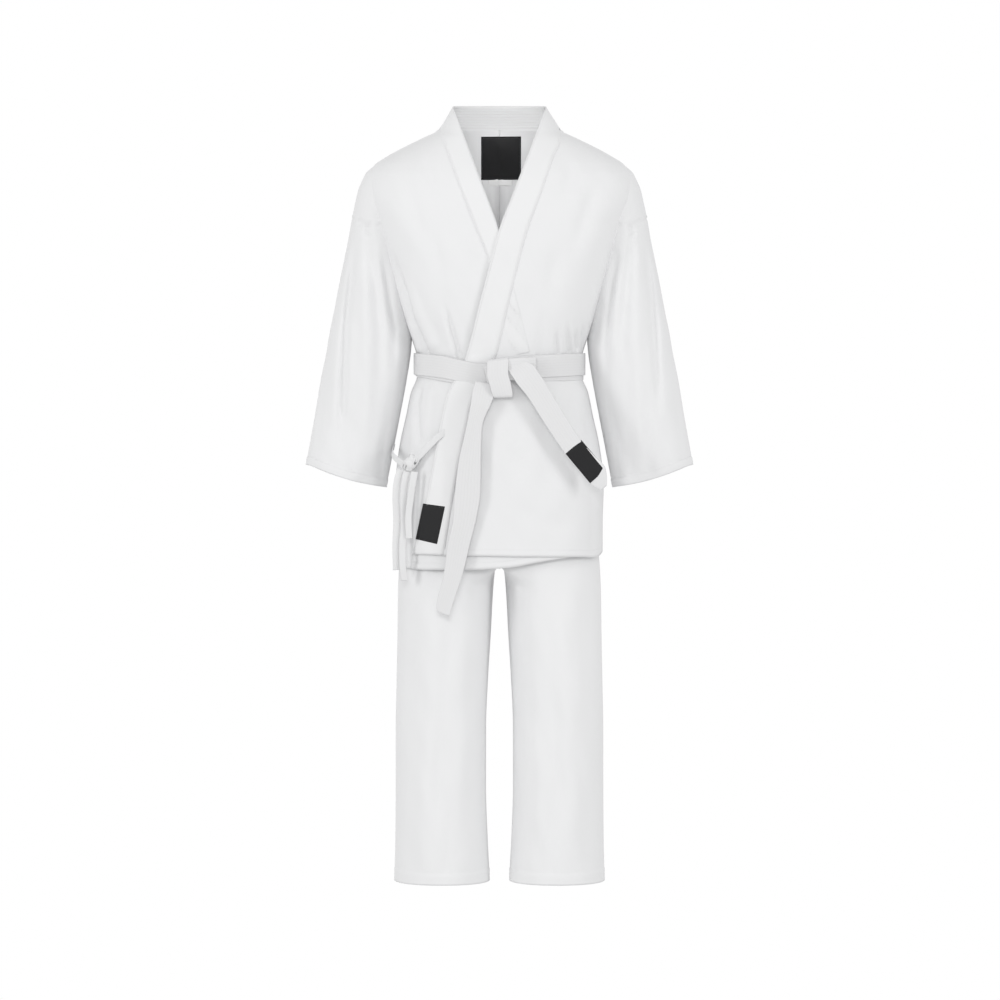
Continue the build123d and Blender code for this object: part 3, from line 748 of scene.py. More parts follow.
# ------------------------------------------------------------------ woven labels
def patch(name, corners, yfun, t, n=26, bevel=1.0, flipn=False):
    """Rectangular patch laid on a surface: corners in grid order, yfun gives the surface."""
    c = np.asarray(corners, float)
    a = np.linspace(0, 1, n)
    A, B = np.meshgrid(a, a)
    u = (c[0, 0] * (1 - A) + c[1, 0] * A) * (1 - B) + (c[3, 0] * (1 - A) + c[2, 0] * A) * B
    v = (c[0, 1] * (1 - A) + c[1, 1] * A) * (1 - B) + (c[3, 1] * (1 - A) + c[2, 1] * A) * B
    y = yfun(u, v)
    e = np.minimum(np.minimum(A, 1 - A), np.minimum(B, 1 - B))
    h = t * np.sqrt(np.clip(1 - np.clip(1 - e * 26, 0, 1) ** 2, .05, 1)) + .0004 * np.exp(-((e - .035) / .014) ** 2) * -1
    top = w(u, v, y - h)
    bot = w(u, v, y + .0002)
    V = np.concatenate([top.reshape(-1, 3), bot.reshape(-1, 3)])
    F = []
    m = n * n
    for i in range(n - 1):
        for j in range(n - 1):
            q = (i * n + j, i * n + j + 1, (i + 1) * n + j + 1, (i + 1) * n + j)
            F.append(q[::-1])
            F.append(tuple(m + x for x in q))
    rim = [j for j in range(n)] + [i * n + n - 1 for i in range(1, n)] + [(n - 1) * n + j for j in range(n - 2, -1, -1)] + [i * n for i in range(n - 2, 0, -1)]
    for x, y2 in zip(rim, rim[1:] + rim[:1]):
        F.append((x, y2, m + y2, m + x))
    o = make(name, V, F, np.zeros((2 * m, 2)))
    k = .035
    ring = [(k, k), (1 - k, k), (1 - k, 1 - k), (k, 1 - k), (k, k)]
    pts = []
    for (a0, b0), (a1, b1) in zip(ring[:-1], ring[1:]):
        for f in np.linspace(0, 1, 14)[:-1]:
            a2, b2 = a0 + (a1 - a0) * f, b0 + (b1 - b0) * f
            uu = (c[0, 0] * (1 - a2) + c[1, 0] * a2) * (1 - b2) + (c[3, 0] * (1 - a2) + c[2, 0] * a2) * b2
            vv = (c[0, 1] * (1 - a2) + c[1, 1] * a2) * (1 - b2) + (c[3, 1] * (1 - a2) + c[2, 1] * a2) * b2
            pts.append(w(uu, vv, float(yfun(np.array([uu]), np.array([vv]))[0]) - t + .0001))
    pts.append(pts[0])
    return o, (np.array(pts), np.tile([0, -1.0, 0], (len(pts), 1)))


def back_inner(u, v, gap=.0018):
    a, b, p = body_a(v), body_b(v), body_p(v)
    r = np.clip(np.abs(u - CX) / a, 0, 1)
    return b * (1 - r ** p) ** (1 / p) - back_shift(u, v) - gap


nl, s1 = patch("neck_patch", [(481.3, 138.5), (520.8, 138.2), (520.8, 181.0), (481.3, 181.2)], back_inner, .0011)
done(nl, LABEL, "jacket", "label_black", "neck_label")
tg, _ = patch("size_tab", [(488.5, 181.4), (512.5, 181.4), (512.2, 187.0), (488.8, 187.0)], lambda u, v: back_inner(u, v, .0022), .0007)
done(tg, LABELW, "jacket", "label_white", "size_tag")
lb, s2 = patch("lapel_patch", [(423, 503.6), (445, 506.6), (437, 544.4), (415.5, 539.3)], lambda u, v: front_y(u, v) + .0004 - .0034, .0010)
done(lb, LABEL, "jacket", "label_black", "lapel_label")
done(stitches("patch_stitching", [s1, s2], pitch=.0030, length=.0022), THREADB, "jacket", "label_black")


# ------------------------------------------------------------------ belt
def rows9(s):
    """Nine rows of stitching sunk into the belt's width."""
    g = np.zeros_like(s)
    for c in np.linspace(-.88, .88, 9):
        g = np.maximum(g, np.exp(-((s - c) / .022) ** 2))
    return .00009 * g


OUT_TOP = [(414, 353.0), (444, 356.0), (459, 359.5), (480, 363), (490, 363), (500, 359), (511, 357), (540, 355.0), (560, 354), (586, 353)]
OUT_BOT = [(414, 374.5), (444, 378.2), (459, 381.2), (480, 384.5), (490, 384), (500, 380), (511, 378.5), (542, 377.5), (586, 375)]
IN_TOP = [(414, 355), (444, 360), (459, 364), (480, 367), (495, 369), (511, 363), (558, 360), (586, 357)]
IN_BOT = [(414, 375.5), (440, 380.5), (453.6, 383), (470, 386.5), (480, 389), (495, 392.5), (515, 386), (540, 382), (558, 380.8), (583, 380.3), (586, 379)]


def turn(name, top, bot, off, t, vm, nodes, wave):
    n = 240
    f = np.arange(n) / n * 4 - 1                       # -1..1 front, 1..3 back
    mid, acr, nor = [], [], []
    for x in f:
        side = -1 if x <= 1 else 1
        phi = x if x <= 1 else 2 - x
        u, y = ring_pt(np.array([phi]), np.array([366.0]), side, off)
        u, y = float(u[0]), float(y[0])
        k = 1 if side < 0 else 0
        vt = float(curve(top, u)) if k else float(curve(top, 414 if u < CX else 586)) + .6 * sin(phi * 2 + 1)
        vb = float(curve(bot, u)) if k else float(curve(bot, 414 if u < CX else 586)) + .6 * sin(phi * 2 + 1)
        if not k:
            g = (phi + 1) / 2
            vt = float(curve(top, 414)) * (1 - g) + float(curve(top, 586)) * g
            vb = float(curve(bot, 414)) * (1 - g) + float(curve(bot, 586)) * g
        y += wave * sin(phi * 9 + 1) * cos(phi * pi / 2)
        a, b = w(u, vt, y), w(u, vb, y)
        mid.append((a + b) / 2)
        acr.append((a - b) / 2)
    mid = np.array(mid)
    tang = np.roll(mid, -1, 0) - np.roll(mid, 1, 0)
    acr = np.array(acr)
    nor = np.cross(tang, acr)
    nor /= np.linalg.norm(nor, axis=1)[:, None]
    cen = mid - mid.mean(0)
    if (nor * cen).sum() < 0:
        nor = -nor
    o = strip(name, mid, acr, nor, t, rows9, nw=57, closed=True)
    bm = o.data
    return done(o, BELT, "jacket", "belt_cotton", *nodes)


turn("belt_first_turn", IN_TOP, IN_BOT, .0028, .0030, 366, ("belt_inner_turn",), .0004)
turn("belt_second_turn", OUT_TOP, OUT_BOT, .0061, .0030, 366, ("belt_outer_turn",), .0004)


def strap(name, pairs, ys, t, n=80, tip=0.0, nw=57, prof=rows9):
    """Flat strap through pairs of edge points (left, right) on the grid at depths ys."""
    pr = np.array([[a[0], a[1], b[0], b[1]] for a, b in pairs], float)
    k = np.r_[0, np.cumsum(np.linalg.norm(np.diff((pr[:, :2] + pr[:, 2:]) / 2, axis=0), axis=1))]
    k /= k[-1]
    q = np.linspace(0, 1, n)
    c = [curve(np.stack([k, pr[:, j]], 1), q) for j in range(4)]
    ys = np.array(ys, float)
    if ys.ndim == 1:
        ys = np.stack([ys, ys], 1)
    yl = curve(np.stack([k, ys[:, 0]], 1), q)
    yr = curve(np.stack([k, ys[:, 1]], 1), q)
    A, B = w(c[0], c[1], yl), w(c[2], c[3], yr)
    mid, acr = (A + B) / 2, (B - A) / 2
    tang = np.gradient(mid, axis=0)
    nor = np.cross(tang, acr)
    nor /= np.linalg.norm(nor, axis=1)[:, None]
    if nor[:, 1].sum() > 0:
        nor = -nor
    return strip(name, mid, acr, nor, t, prof, nw=nw), mid, nor


# the knot: the end that is carried up over both turns and down in front
kf, _, _ = strap("knot_wrap", [((490, 368), (507, 367)), ((488.5, 360.5), (508.3, 358)), ((487.2, 362), (508.4, 360.5)), ((487, 373.5), (508.2, 372)),
                               ((490, 386), (511, 384)), ((493, 395.5), (512.6, 395)), ((494, 397), (512, 396.3)), ((495, 390), (511, 389))],
                 [-.119, -.1205, -.1262, -.1300, -.1312, -.1290, -.1262, -.1225], .0034, n=90)
done(kf, BELT, "jacket", "belt_cotton", "belt_knot_wrap")
kc, _, _ = strap("knot_core", [((484, 366), (488, 386)), ((498, 362), (500, 388)), ((508, 358.5), (509, 380)), ((522, 357.5), (520, 381)), ((536, 357.0), (536, 378.5))],
                 [-.1185, -.1225, -.1235, -.1225, -.1150], .0034, n=50)
done(kc, BELT, "jacket", "belt_cotton", "belt_knot_core")
tr, mid_r, _ = strap("hanging_belt_end", [((475.5, 381), (494, 384)), ((472.6, 391), (493.7, 396)), ((471.4, 400), (491.8, 401.5)), ((465.6, 431), (481.9, 428)), ((459, 460), (480.9, 457)), ((454.6, 496), (480.4, 492)),
                                          ((453.0, 519), (477.0, 515)), ((447.8, 545), (470.2, 543)), ((443.8, 574), (463.0, 573)), ((436.0, 608.6), (451.5, 609)),
                                          ((437.6, 612.6), (449.0, 617.6))],
                     [(-.1222, -.1222), (-.1262, -.1250), (-.1292, -.1280), (-.1310, -.1300), (-.1308, -.1316), (-.1306, -.1320), (-.1310, -.1316), (-.1315, -.1310), (-.1312, -.1316), (-.1306, -.1318), (-.1306, -.1316)], .0034, n=150)
done(tr, BELT, None, "belt_cotton", "belt_tail_right")
tl, _, _ = strap("standing_belt_end", [((506.5, 368.5), (518, 357.8)), ((510, 373), (533.5, 365.5)), ((517, 383.5), (539, 373)), ((526, 394.5), (545.5, 383)), ((545, 424), (562.3, 411)),
                                       ((565.6, 454), (581, 440.2)), ((578, 469), (594.5, 455.6)), ((590, 483), (605.8, 469.3)), ((598.5, 488.5), (607, 481)), ((602, 489.8), (606.6, 485.5))],
                 [(-.1240, -.1190), (-.1275, -.1240), (-.1300, -.1270), (-.1308, -.1290), (-.1310, -.1302), (-.1306, -.1314), (-.1302, -.1320), (-.1300, -.1322), (-.1300, -.1322), (-.1300, -.1322)], .0034, n=110)
done(tl, BELT, None, "belt_cotton", "belt_tail_left")
bl_, s3 = patch("belt_patch", [(565.4, 453.6), (581.2, 439.8), (605.9, 469.2), (590.0, 483.2)],
                lambda u, v: -.1324 - .0016 * ((u - 565) * .66 - (v - 440) * .3) / 30 * .3 + 0 * u, .0010)
done(bl_, LABEL, "belt_tail_left", "label_black", "belt_label")

# ------------------------------------------------------------------ side tying tapes
def ribbon(name, pts, width=.0118, t=.0013, twist=0.0, n=70, face=(0, -1, 0), end=True):
    """Tape through points of the frame; face is the way its flat side looks."""
    pts = np.asarray(pts, float)
    k = np.r_[0, np.cumsum(np.linalg.norm(np.diff(pts, axis=0), axis=1))]
    q = np.linspace(0, 1, n)
    mid = np.stack([curve(np.stack([k / k[-1], pts[:, j]], 1), q) for j in range(3)], 1)
    tang = np.gradient(mid, axis=0)
    tang /= np.linalg.norm(tang, axis=1)[:, None]
    fc = np.tile(np.asarray(face, float), (n, 1))
    acr = np.cross(tang, fc)
    acr /= np.linalg.norm(acr, axis=1)[:, None]
    nor = np.cross(acr, tang)
    a = twist * np.sin(q * pi * 1.5)
    acr2 = acr * np.cos(a)[:, None] + nor * np.sin(a)[:, None]
    nor2 = np.cross(acr2, tang)
    nor2 *= np.sign((nor2 * fc).sum(1))[:, None]
    o = strip(name, mid, acr2 * width / 2, nor2, t, lambda s: .00012 * np.exp(-((np.abs(s) - .72) / .06) ** 2), nw=19)
    L = float(np.linalg.norm(np.diff(mid, axis=0), axis=1).sum())
    return o, mid, L


tf, _, _ = ribbon("front_tie", [w(446, 431.5, -.1050), w(438, 437, -.1060), w(428, 446.5, -.1045), w(420, 455, -.1020), w(414, 461, -.0990)], face=(.25, -1, .2))
done(tf, TAPE, "jacket", "tape", "side_tie_front")
ts, _, _ = ribbon("side_tie", [(-.1905, -.018, -.572), (-.1935, -.038, -.5765), (-.1925, -.060, -.582), (-.1830, -.083, -.590), (-.172, -.095, -.5965)], face=(-1, -.4, .1))
done(ts, TAPE, "jacket", "tape", "side_tie_side")


def knot(name):
    """Flat bow knot: two short bights either side of a wrapped turn."""
    parts = []
    c = np.array(w(410.5, 463.0, -.0965))
    ux, uz = np.array([cos(.62), 0, sin(.62)]), np.array([-sin(.62), 0, cos(.62)])
    for sgn in (-1, 1):
        loop = []
        for k in range(13):
            f = k / 12
            r = .0175 * sin(f * pi) ** .7
            loop.append(c + ux * (sgn * r) + uz * ((.5 - f) * .0105) + np.array([0, -.0035 + .0062 * f, 0]) + np.array([0, -.0030 * sin(f * pi), 0]))
        parts.append(ribbon("bight", loop, width=.0125, face=(0, -.35, 1 if sgn > 0 else .9), n=60)[0])
    wrap = []
    for k in range(15):
        f = k / 14 * 2 * pi
        wrap.append(c + uz * (.0082 * cos(f)) + np.array([0, -.0005 - .0072 * sin(f), 0]))
    wr, _, _ = ribbon("turn", wrap[:-1] + [wrap[-1]], width=.0118, face=tuple(-ux * .2 + np.array([0, -.02, 0])), n=70)
    parts.append(wr)
    return parts


kn_c = np.array(w(410.5, 463.0, -.0965))


def knot_mesh(name):
    """The drawn-up knot: crossed bands of tape round a common centre."""
    V, F, UV = [], [], []
    ang = .62
    ux, uz, uy = np.array([cos(ang), 0, sin(ang)]), np.array([-sin(ang), 0, cos(ang)]), np.array([0, 1.0, 0])

    def band(e1, e2, e3, r1, r2, wid, t, start=0.0, sweep=2 * pi, n=64, skew=0.0):
        m = 15
        s = np.linspace(-1, 1, m)
        base = len(V)
        closed = abs(sweep - 2 * pi) < 1e-6
        for i in range(n):
            a = start + sweep * i / (n if closed else n - 1)
            rad = e1 * cos(a) * r1 + e2 * sin(a) * r2
            nn = e1 * cos(a) * r2 + e2 * sin(a) * r1
            nn = nn / np.linalg.norm(nn)
            sk = e3 * skew * sin(a)
            crown = .0011 * (1 - s ** 2)
            for q, cr in zip(s, crown):
                V.append(kn_c + rad + nn * (cr + t / 2) + e3 * q * wid / 2 + sk)
                UV.append((q * wid / 2, a * max(r1, r2)))
            for q, cr in zip(s[::-1], crown[::-1]):
                V.append(kn_c + rad + nn * (cr - t / 2) + e3 * q * wid / 2 + sk)
                UV.append((q * wid / 2, a * max(r1, r2)))
        w2 = 2 * m
        for i in range(n if closed else n - 1):
            i2 = (i + 1) % n
            for j in range(w2):
                k = (j + 1) % w2
                F.append((base + i * w2 + j, base + i * w2 + k, base + i2 * w2 + k, base + i2 * w2 + j))
        if not closed:
            F.append(tuple(base + j for j in range(w2))[::-1])
            F.append(tuple(base + (n - 1) * w2 + j for j in range(w2)))

    # wrapped turn round the middle, with two flattened bights beside it
    band(uz, uy, ux, .0098, .0066, .0122, .0013, skew=.0015)
    band(ux, uz, uy, .0168, .0086, .0100, .0013, skew=.0)
    band(ux * .8 + uz * .6, uy, uz * .8 - ux * .6, .0150, .0050, .0110, .0013, skew=.001)
    return make(name, V, F, UV)


kn = knot_mesh("side_tie_bow")
done(kn, TAPE, "jacket", "tape", "side_tie_knot")

END_A = [(-.1660, -.1035, -.6090), (-.1705, -.1048, -.6300), (-.1722, -.1046, -.6600), (-.1706, -.1038, -.7000), (-.1742, -.1042, -.7480), (-.1740, -.1046, -.7750), (-.1705, -.1038, -.8060)]
END_B = [(-.1775, -.0985, -.6050), (-.1840, -.1006, -.6280), (-.1862, -.1008, -.6550), (-.1848, -.1004, -.7000), (-.1866, -.1008, -.7450), (-.1858, -.1004, -.7870)]
END_C = [(-.1520, -.1070, -.6090), (-.1555, -.1083, -.6300), (-.1600, -.1082, -.6620), (-.1634, -.1080, -.6940), (-.1622, -.1080, -.7290)]
for nm, pts, node, tw, on in (("tie_end_long", END_A, "side_tie_end_a", .30, [tf]), ("tie_end_side", END_B, "side_tie_end_b", -.25, [ts]),
                              ("tie_bight", END_C, "side_tie_loop", .2, [])):
    o, mid, L = ribbon(nm, pts, twist=tw, n=90)
    done(o, TAPE, "jacket", "tape", node)

# ------------------------------------------------------------------ trousers
# grid height, outer half width, half depth
TRS = [(365, 71.5, .094), (390, 74.7, .096), (430, 82, .101), (470, 89.5, .104), (520, 95, .104), (545, 97.5, .102), (566, 99.6, .100), (590, 100.8, .098), (632, 101.5, .096), (680, 102.5, .093),
       (728, 103.5, .090), (788, 103.7, .088), (848, 104.3, .087), (872, 104.9, .087), (896, 105.0, .087)]
GAP = [(556, 0), (561, .2), (565, 3.6), (572, 5.5), (590, 7.2), (608, 8.2), (632, 9.4), (680, 12.3), (728, 14.3), (788, 14.4), (848, 12.5), (872, 11.3), (896, 11.0)]
CROTCH = 561.0
# folds of the wearer's right leg, then of the left, on the front
LEG_FOLDS = {
    -1: [([(452, 600), (446, 680), (440, 760), (436, 850)], 5.5, .0052, (.3, .2)),
         ([(437, 590), (431, 680), (427, 780), (425, 860)], 7.0, -.0034, (.3, .2)),
         ([(468, 610), (463, 700), (460, 790), (458, 866)], 6.5, -.0034, (.3, .2)),
         ([(415, 585), (411, 660), (409, 740)], 5.0, .0040, (.3, .4)),
         ([(480, 640), (477, 720), (476, 800)], 4.0, .0032, (.3, .4)),
         ([(416, 740), (412, 820), (411, 880)], 5.0, .0032, (.4, .1)),
         ([(450, 780), (447, 840), (446, 884)], 4.0, .0028, (.5, .1)),
         ([(468, 585), (480, 600), (490, 625)], 6.0, .0022, (.3, .4))],
    1: [([(548, 600), (552, 680), (557, 760), (560, 850)], 5.5, .0050, (.3, .2)),
        ([(563, 590), (567, 680), (571, 780), (573, 860)], 7.0, -.0034, (.3, .2)),
        ([(532, 610), (536, 700), (539, 790), (541, 866)], 6.5, -.0034, (.3, .2)),
        ([(584, 585), (587, 660), (589, 740)], 5.0, .0040, (.3, .4)),
        ([(519, 640), (522, 720), (523, 800)], 4.0, .0030, (.3, .4)),
        ([(582, 740), (586, 820), (588, 880)], 5.0, .0032, (.4, .1)),
        ([(551, 780), (552, 840), (553, 884)], 4.0, .0026, (.5, .1)),
        ([(530, 580), (519, 598), (510, 625)], 6.0, .0022, (.3, .4))],
}
LEG_HEMS = []


def trouser_half(name, side):
    nr, no, ni = 240, 92, 38
    nc = no + ni
    P = np.zeros((nr, nc, 3))
    H = np.zeros((nr, nc))
    q = np.linspace(-1, 1, no)
    # angles round the leg: the outer part, then the inner part from back to front
    th_o = q * radians(122)
    th_i = radians(122) + (2 * pi - 2 * radians(122)) * (np.arange(1, ni + 1)) / (ni + 1)
    th = np.r_[th_o, th_i]
    rows = np.r_[np.linspace(366, CROTCH, 70), np.linspace(CROTCH, 893, nr - 69)[1:]]
    for i, v0 in enumerate(rows):
        vv = np.full(nc, v0)
        st = 800.0
        for _ in range(3):
            ao, b, g = curve(TRS, vv, 1), curve(TRS, vv, 2), curve(GAP, vv, 1)
            # half of the seat
            cu = np.r_[ao[:no] * np.maximum(np.cos(q * pi / 2), 0) ** (2 / 2.5), np.zeros(ni)]
            sy = np.r_[np.sign(q) * np.abs(np.sin(q * pi / 2)) ** (2 / 2.5), np.linspace(1, -1, ni + 2)[1:-1]]
            yS = sy * b
            # closed leg
            c, s = np.cos(th), np.sin(th)
            mid_, hw = (ao + g) / 2, (ao - g) / 2
            cl = mid_ + hw * np.sign(c) * np.abs(c) ** (2 / 2.25)
            yL = np.sign(s) * np.abs(s) ** (2 / 2.25) * b
            k = smooth(CROTCH - 40, CROTCH + 32, vv)
            k2 = np.where(np.arange(nc) >= no, smooth(CROTCH - 1, CROTCH + 26, vv), k)
            du = cu * (1 - k) + cl * k
            y = yS * (1 - k) + yL * k
            # the inseam opens from the crotch seam
            gi = np.where(vv <= CROTCH, 0.0, g)
            du = np.where(np.arange(nc) >= no, np.maximum(du * k2, gi * np.minimum(1, k2 * 3)), np.maximum(du, gi * 0))
            # both halves meet at the centre seams above the crotch
            seam = np.r_[np.abs(q) ** 6, np.zeros(ni)] * (1 - smooth(CROTCH, CROTCH + 24, vv))
            du = du - seam * np.where(np.arange(nc) < no // 2, du[0], du[no - 1])
            if v0 > st:
                hem = np.where(y < 0, 884.8 + 6.4 * np.clip(-y / b, 0, 1), vz(-1.3705, y))
                vv = st + (v0 - st) * (hem - st) / (893 - st)
        u = CX + side * du
        front = smooth(.05, .55, -np.sign(y) * np.abs(y) / b)
        d = soft_noise(u * 1.1 + 11 * side, vv * .6, .0016)
        for pts, wd, dp, tips in LEG_FOLDS[side]:
            d = d + seg_fold(u, vv, pts, wd, dp * .45, tips)
        back = smooth(.05, .55, np.sign(y) * np.abs(y) / b)
        db = soft_noise(u * 1.3 + 71, vv * .5, .0022) + .0028 * np.sin((u - CX) * .17 + vv * .006) * smooth(600, 660, vv) * (1 - smooth(820, 880, vv))
        fade = smooth(366, 420, vv)
        fade = fade * (1 - (1 - smooth(0, 7, np.abs(u - CX))) * (1 - smooth(CROTCH, CROTCH + 30, vv)))
        y = y + (front * d - back * db) * fade
        # gathers running down from the elastic
        pl = (1 - smooth(390, 470, vv))
        y = y + .0024 * pl * np.sin(np.arctan2(y, side * (u - CX)) * 34) * np.sign(y) * (np.arange(nc) < no) * smooth(0, 7, np.abs(u - CX))
        h = hem - vv if v0 > st else np.full(nc, 99.)
        ed = .0010 * (1 - smooth(11.0, 11.9, h)) - .0007 * np.exp(-((h - 11.8) / .5) ** 2) - .0006 * np.exp(-((h - 3.4) / .45) ** 2) - .0005 * np.exp(-((h - 7.2) / .45) ** 2)
        s_ = np.clip(y / b, -1, 1)
        y = y + ed * s_
        u = u + side * ed / G * np.clip((du - mid_) / hw, -1, 1)
        P[i] = w(u, vv, y)
        H[i] = h
    for val in (3.4, 7.2, 11.2):
        LEG_HEMS.append((side, line_at(P, H, val)))
    # the inner wall exists only below the crotch
    idx = np.arange(nr * nc).reshape(nr, nc)
    F = []
    for i in range(nr - 1):
        for j in range(nc):
            k = (j + 1) % nc
            if rows[i] < CROTCH - 1e-6 and (j >= no - 1):
                continue
            f = (idx[i, j], idx[i, k], idx[i + 1, k], idx[i + 1, j])
            F.append(f if side > 0 else f[::-1])
    o = make(name, P.reshape(-1, 3), [tuple(int(a) for a in f) for f in F], np.zeros((nr * nc, 2)))
    me = o.data
    import bmesh
    bm = bmesh.new()
    bm.from_mesh(me)
    loose = [x for x in bm.verts if not x.link_faces]
    bmesh.ops.delete(bm, geom=loose, context="VERTS")
    bm.to_mesh(me)
    bm.free()
    return thick(o, .0015, -1), P


for side, tag in ((-1, "right"), (1, "left")):
    o, PP = trouser_half(f"{tag}_trouser_cloth", side)
    done(o, COTTON_LEG, None, "cotton", f"seat_{tag}", f"trouser_leg_{tag}", f"leg_hem_{tag}")
    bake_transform(o)

# gusset: a diamond of the same cloth over the crossing of the seams
GU = []
for sy in (-1, 1):
    V, F = [], []
    n = 17
    for i in range(n):
        for j in range(n):
            a, b = i / (n - 1) - .5, j / (n - 1) - .5
            x = (a - b) * .060
            v = 548.5 + (a + b) * 21.0
            yb = float(curve(TRS, v, 2))
            uu = x / G
            k = float(smooth(CROTCH - 40, CROTCH + 32, v))
            ao = float(curve(TRS, v, 1))
            r = min(abs(uu) / ao, 1)
            y = yb * (1 - r ** 2.5) ** .4
            mid_ = ao / 2
            yl = yb * max(0.0, 1 - (abs(abs(uu) - mid_) / mid_) ** 2.25) ** (1 / 2.25)
            y = (y * (1 - k) + yl * k) + .0026
            V.append(w(CX + uu, v, sy * y))
    GU.append((V, sy))
gv, gf = [], []
for V, sy in GU:
    base = len(gv)
    gv += V
    for i in range(16):
        for j in range(16):
            f = (base + i * 17 + j, base + i * 17 + j + 1, base + (i + 1) * 17 + j + 1, base + (i + 1) * 17 + j)
            gf.append(f if sy < 0 else f[::-1])
g = thick(make("gusset", gv, gf, np.zeros((len(gv), 2))), .0012, -1)
done(g, COTTON_LEG, "trousers", "cotton", "crotch_gusset")


def waist_ring(name, z0, z1, a0, a1, t, mat_, slot, node, ruff, n=420, nwd=14, inset=0.0):
    V, F = [], []
    for face in (0, 1):
        for i in range(nwd):
            f = i / (nwd - 1)
            if face:
                f = 1 - f
            z = z0 + (z1 - z0) * f
            bulge = .0010 * sin(f * pi * 3) ** 2 * (1 if face == 0 else 0)
            for j in range(n):
                a = 2 * pi * j / n
                A = a0[0] + (a1[0] - a0[0]) * f - inset
                B = a0[1] + (a1[1] - a0[1]) * f - inset
                r = ruff * (sin(a * 52) + .5 * sin(a * 31 + 1)) * (.4 + .6 * abs(2 * f - 1))
                off = (0 if face == 0 else -t) + bulge + r
                c, s = cos(a), sin(a)
                V.append((np.sign(c) * abs(c) ** (2 / 2.4) * (A + off), np.sign(s) * abs(s) ** (2 / 2.4) * (B + off), z))
    rows = 2 * nwd
    for i in range(rows):
        i2 = (i + 1) % rows
        for j in range(n):
            k = (j + 1) % n
            F.append((i * n + j, i * n + k, i2 * n + k, i2 * n + j))
    o = make(name, V, F, np.zeros((len(V), 2)))
    return done(o, mat_, "trousers", slot, node)


waist_ring("gathered_waistband", -.470, -.4255, (.139, .0966), (.1335, .0945), .0046, COTTON_LEG, "cotton", "waistband", .0011)
waist_ring("elastic", -.466, -.4295, (.139, .0966), (.1335, .0945), .0010, ELASTIC, "elastic", "waist_elastic", .0007, inset=.0020)
V, F = [], []
for x in (-.014, .014):
    n, m = 40, 14
    base = len(V)
    for i in range(n):
        a = 2 * pi * i / n
        for j in range(m):
            b = 2 * pi * j / m
            R, r = .0046, .0013
            V.append((x + (R + r * cos(b)) * cos(a), -.0975 - .6 * r * sin(b), -.448 + (R + r * cos(b)) * sin(a)))
    for i in range(n):
        for j in range(m):
            F.append((base + i * m + j, base + i * m + (j + 1) % m, base + ((i + 1) % n) * m + (j + 1) % m, base + ((i + 1) % n) * m + j))
ey = make("eyelets", V, F, np.zeros((len(V), 2)))
done(ey, METAL, "trousers", "eyelet_metal", "waist_eyelets")

# ------------------------------------------------------------------ stitched hems
done(stitches("jacket_hem_stitching", HEMS, pitch=.0036), THREAD, "jacket", "cotton")
for side, tag in ((-1, "right"), (1, "left")):
    o = stitches(f"{tag}_cuff_stitching", [(np.r_[x[0], x[0][:1]], np.r_[x[1], x[1][:1]]) for s_, x in SLEEVE_HEMS if s_ == side], pitch=.0036)
    done(o, THREAD, f"{tag}_sleeve", "cotton")
    o = stitches(f"{tag}_leg_stitching", [(np.r_[x[0], x[0][:1]], np.r_[x[1], x[1][:1]]) for s_, x in LEG_HEMS if s_ == side], pitch=.0036)
    done(o, THREAD, f"{tag}_leg", "cotton")

# all closed straps and bands face outwards
import bmesh
for o in (ll, lr, cb, nl, tg, lb, bl_, kf, kc, tr, tl, tf, ts, kn, ey, bpy.data.objects["gathered_waistband"], bpy.data.objects["elastic"],
          bpy.data.objects["belt_first_turn"], bpy.data.objects["belt_second_turn"], bpy.data.objects["tie_end_long"],
          bpy.data.objects["tie_end_side"], bpy.data.objects["tie_bight"]):
    bm = bmesh.new()
    bm.from_mesh(o.data)
    bmesh.ops.recalc_face_normals(bm, faces=bm.faces)
    bm.to_mesh(o.data)
    bm.free()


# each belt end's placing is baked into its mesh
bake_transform(tr)
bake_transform(tl)
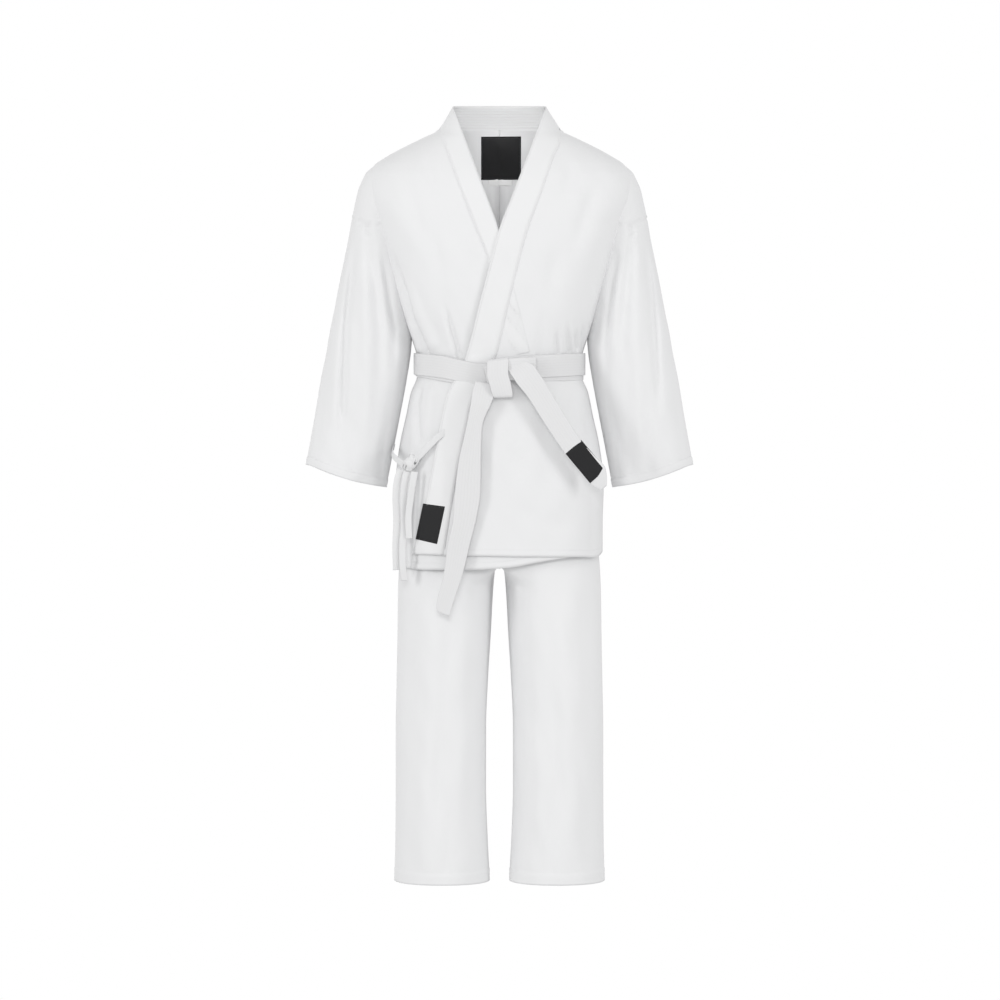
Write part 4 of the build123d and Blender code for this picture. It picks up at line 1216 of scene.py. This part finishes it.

# ------------------------------------------------------------------ area of a cloth piece
def cloth_area(o):
    n = len(o.data.polygons)
    a = np.empty(n)
    o.data.polygons.foreach_get("area", a)
    return float(a.sum()) / 2


# ------------------------------------------------------------------ camera and light
sc = bpy.context.scene
cam_d = bpy.data.cameras.new("camera")
cam = bpy.data.objects.new("camera", cam_d)
sc.collection.objects.link(cam)
cam.location = (.0009, -7.0, .027)
cam_d.sensor_width = 36.0
cam_d.lens = 139.2
aim = Vector((.0009, 0, -.6705)) - cam.location
cam.rotation_euler = aim.to_track_quat("-Z", "Y").to_euler()
sc.camera = cam

wd = bpy.data.worlds.new("world")
wd.use_nodes = True
sc.world = wd
wn, wl = wd.node_tree.nodes, wd.node_tree.links
bg = wn["Background"]
tcw = wn.new("ShaderNodeTexCoord")
spw = wn.new("ShaderNodeSeparateXYZ")
wl.new(tcw.outputs["Generated"], spw.inputs[0])
mr = wn.new("ShaderNodeMapRange")
mr.inputs["From Min"].default_value = .35
mr.inputs["From Max"].default_value = .85
mr.inputs["To Min"].default_value = .66
mr.inputs["To Max"].default_value = 1.0
wl.new(spw.outputs[1], mr.inputs["Value"])
bg.inputs[0].default_value = (1, 1, 1, 1)
wl.new(mr.outputs[0], bg.inputs[1])
sc.view_settings.view_transform = "Standard"


def area(name, loc, aim_at, size, energy):
    d = bpy.data.lights.new(name, "AREA")
    d.shape = "RECTANGLE"
    d.size, d.size_y = size
    d.energy = energy
    o = bpy.data.objects.new(name, d)
    sc.collection.objects.link(o)
    o.location = loc
    o.rotation_euler = (Vector(aim_at) - Vector(loc)).to_track_quat("-Z", "Y").to_euler()
    return o


area("key", (-4.2, -3.0, .3), (0, 0, -.70), (1.0, 2.6), 68)
area("side", (4.2, -2.8, .1), (0, 0, -.72), (1.0, 2.6), 60)
area("front", (-.3, -5.6, 1.2), (0, 0, -.75), (1.4, 1.2), 72)
nk = area("neck", (0, -.052, -.070), (0, .10, -.105), (.05, .10), .085)
nk.data.spread = radians(150)
nk.visible_camera = False
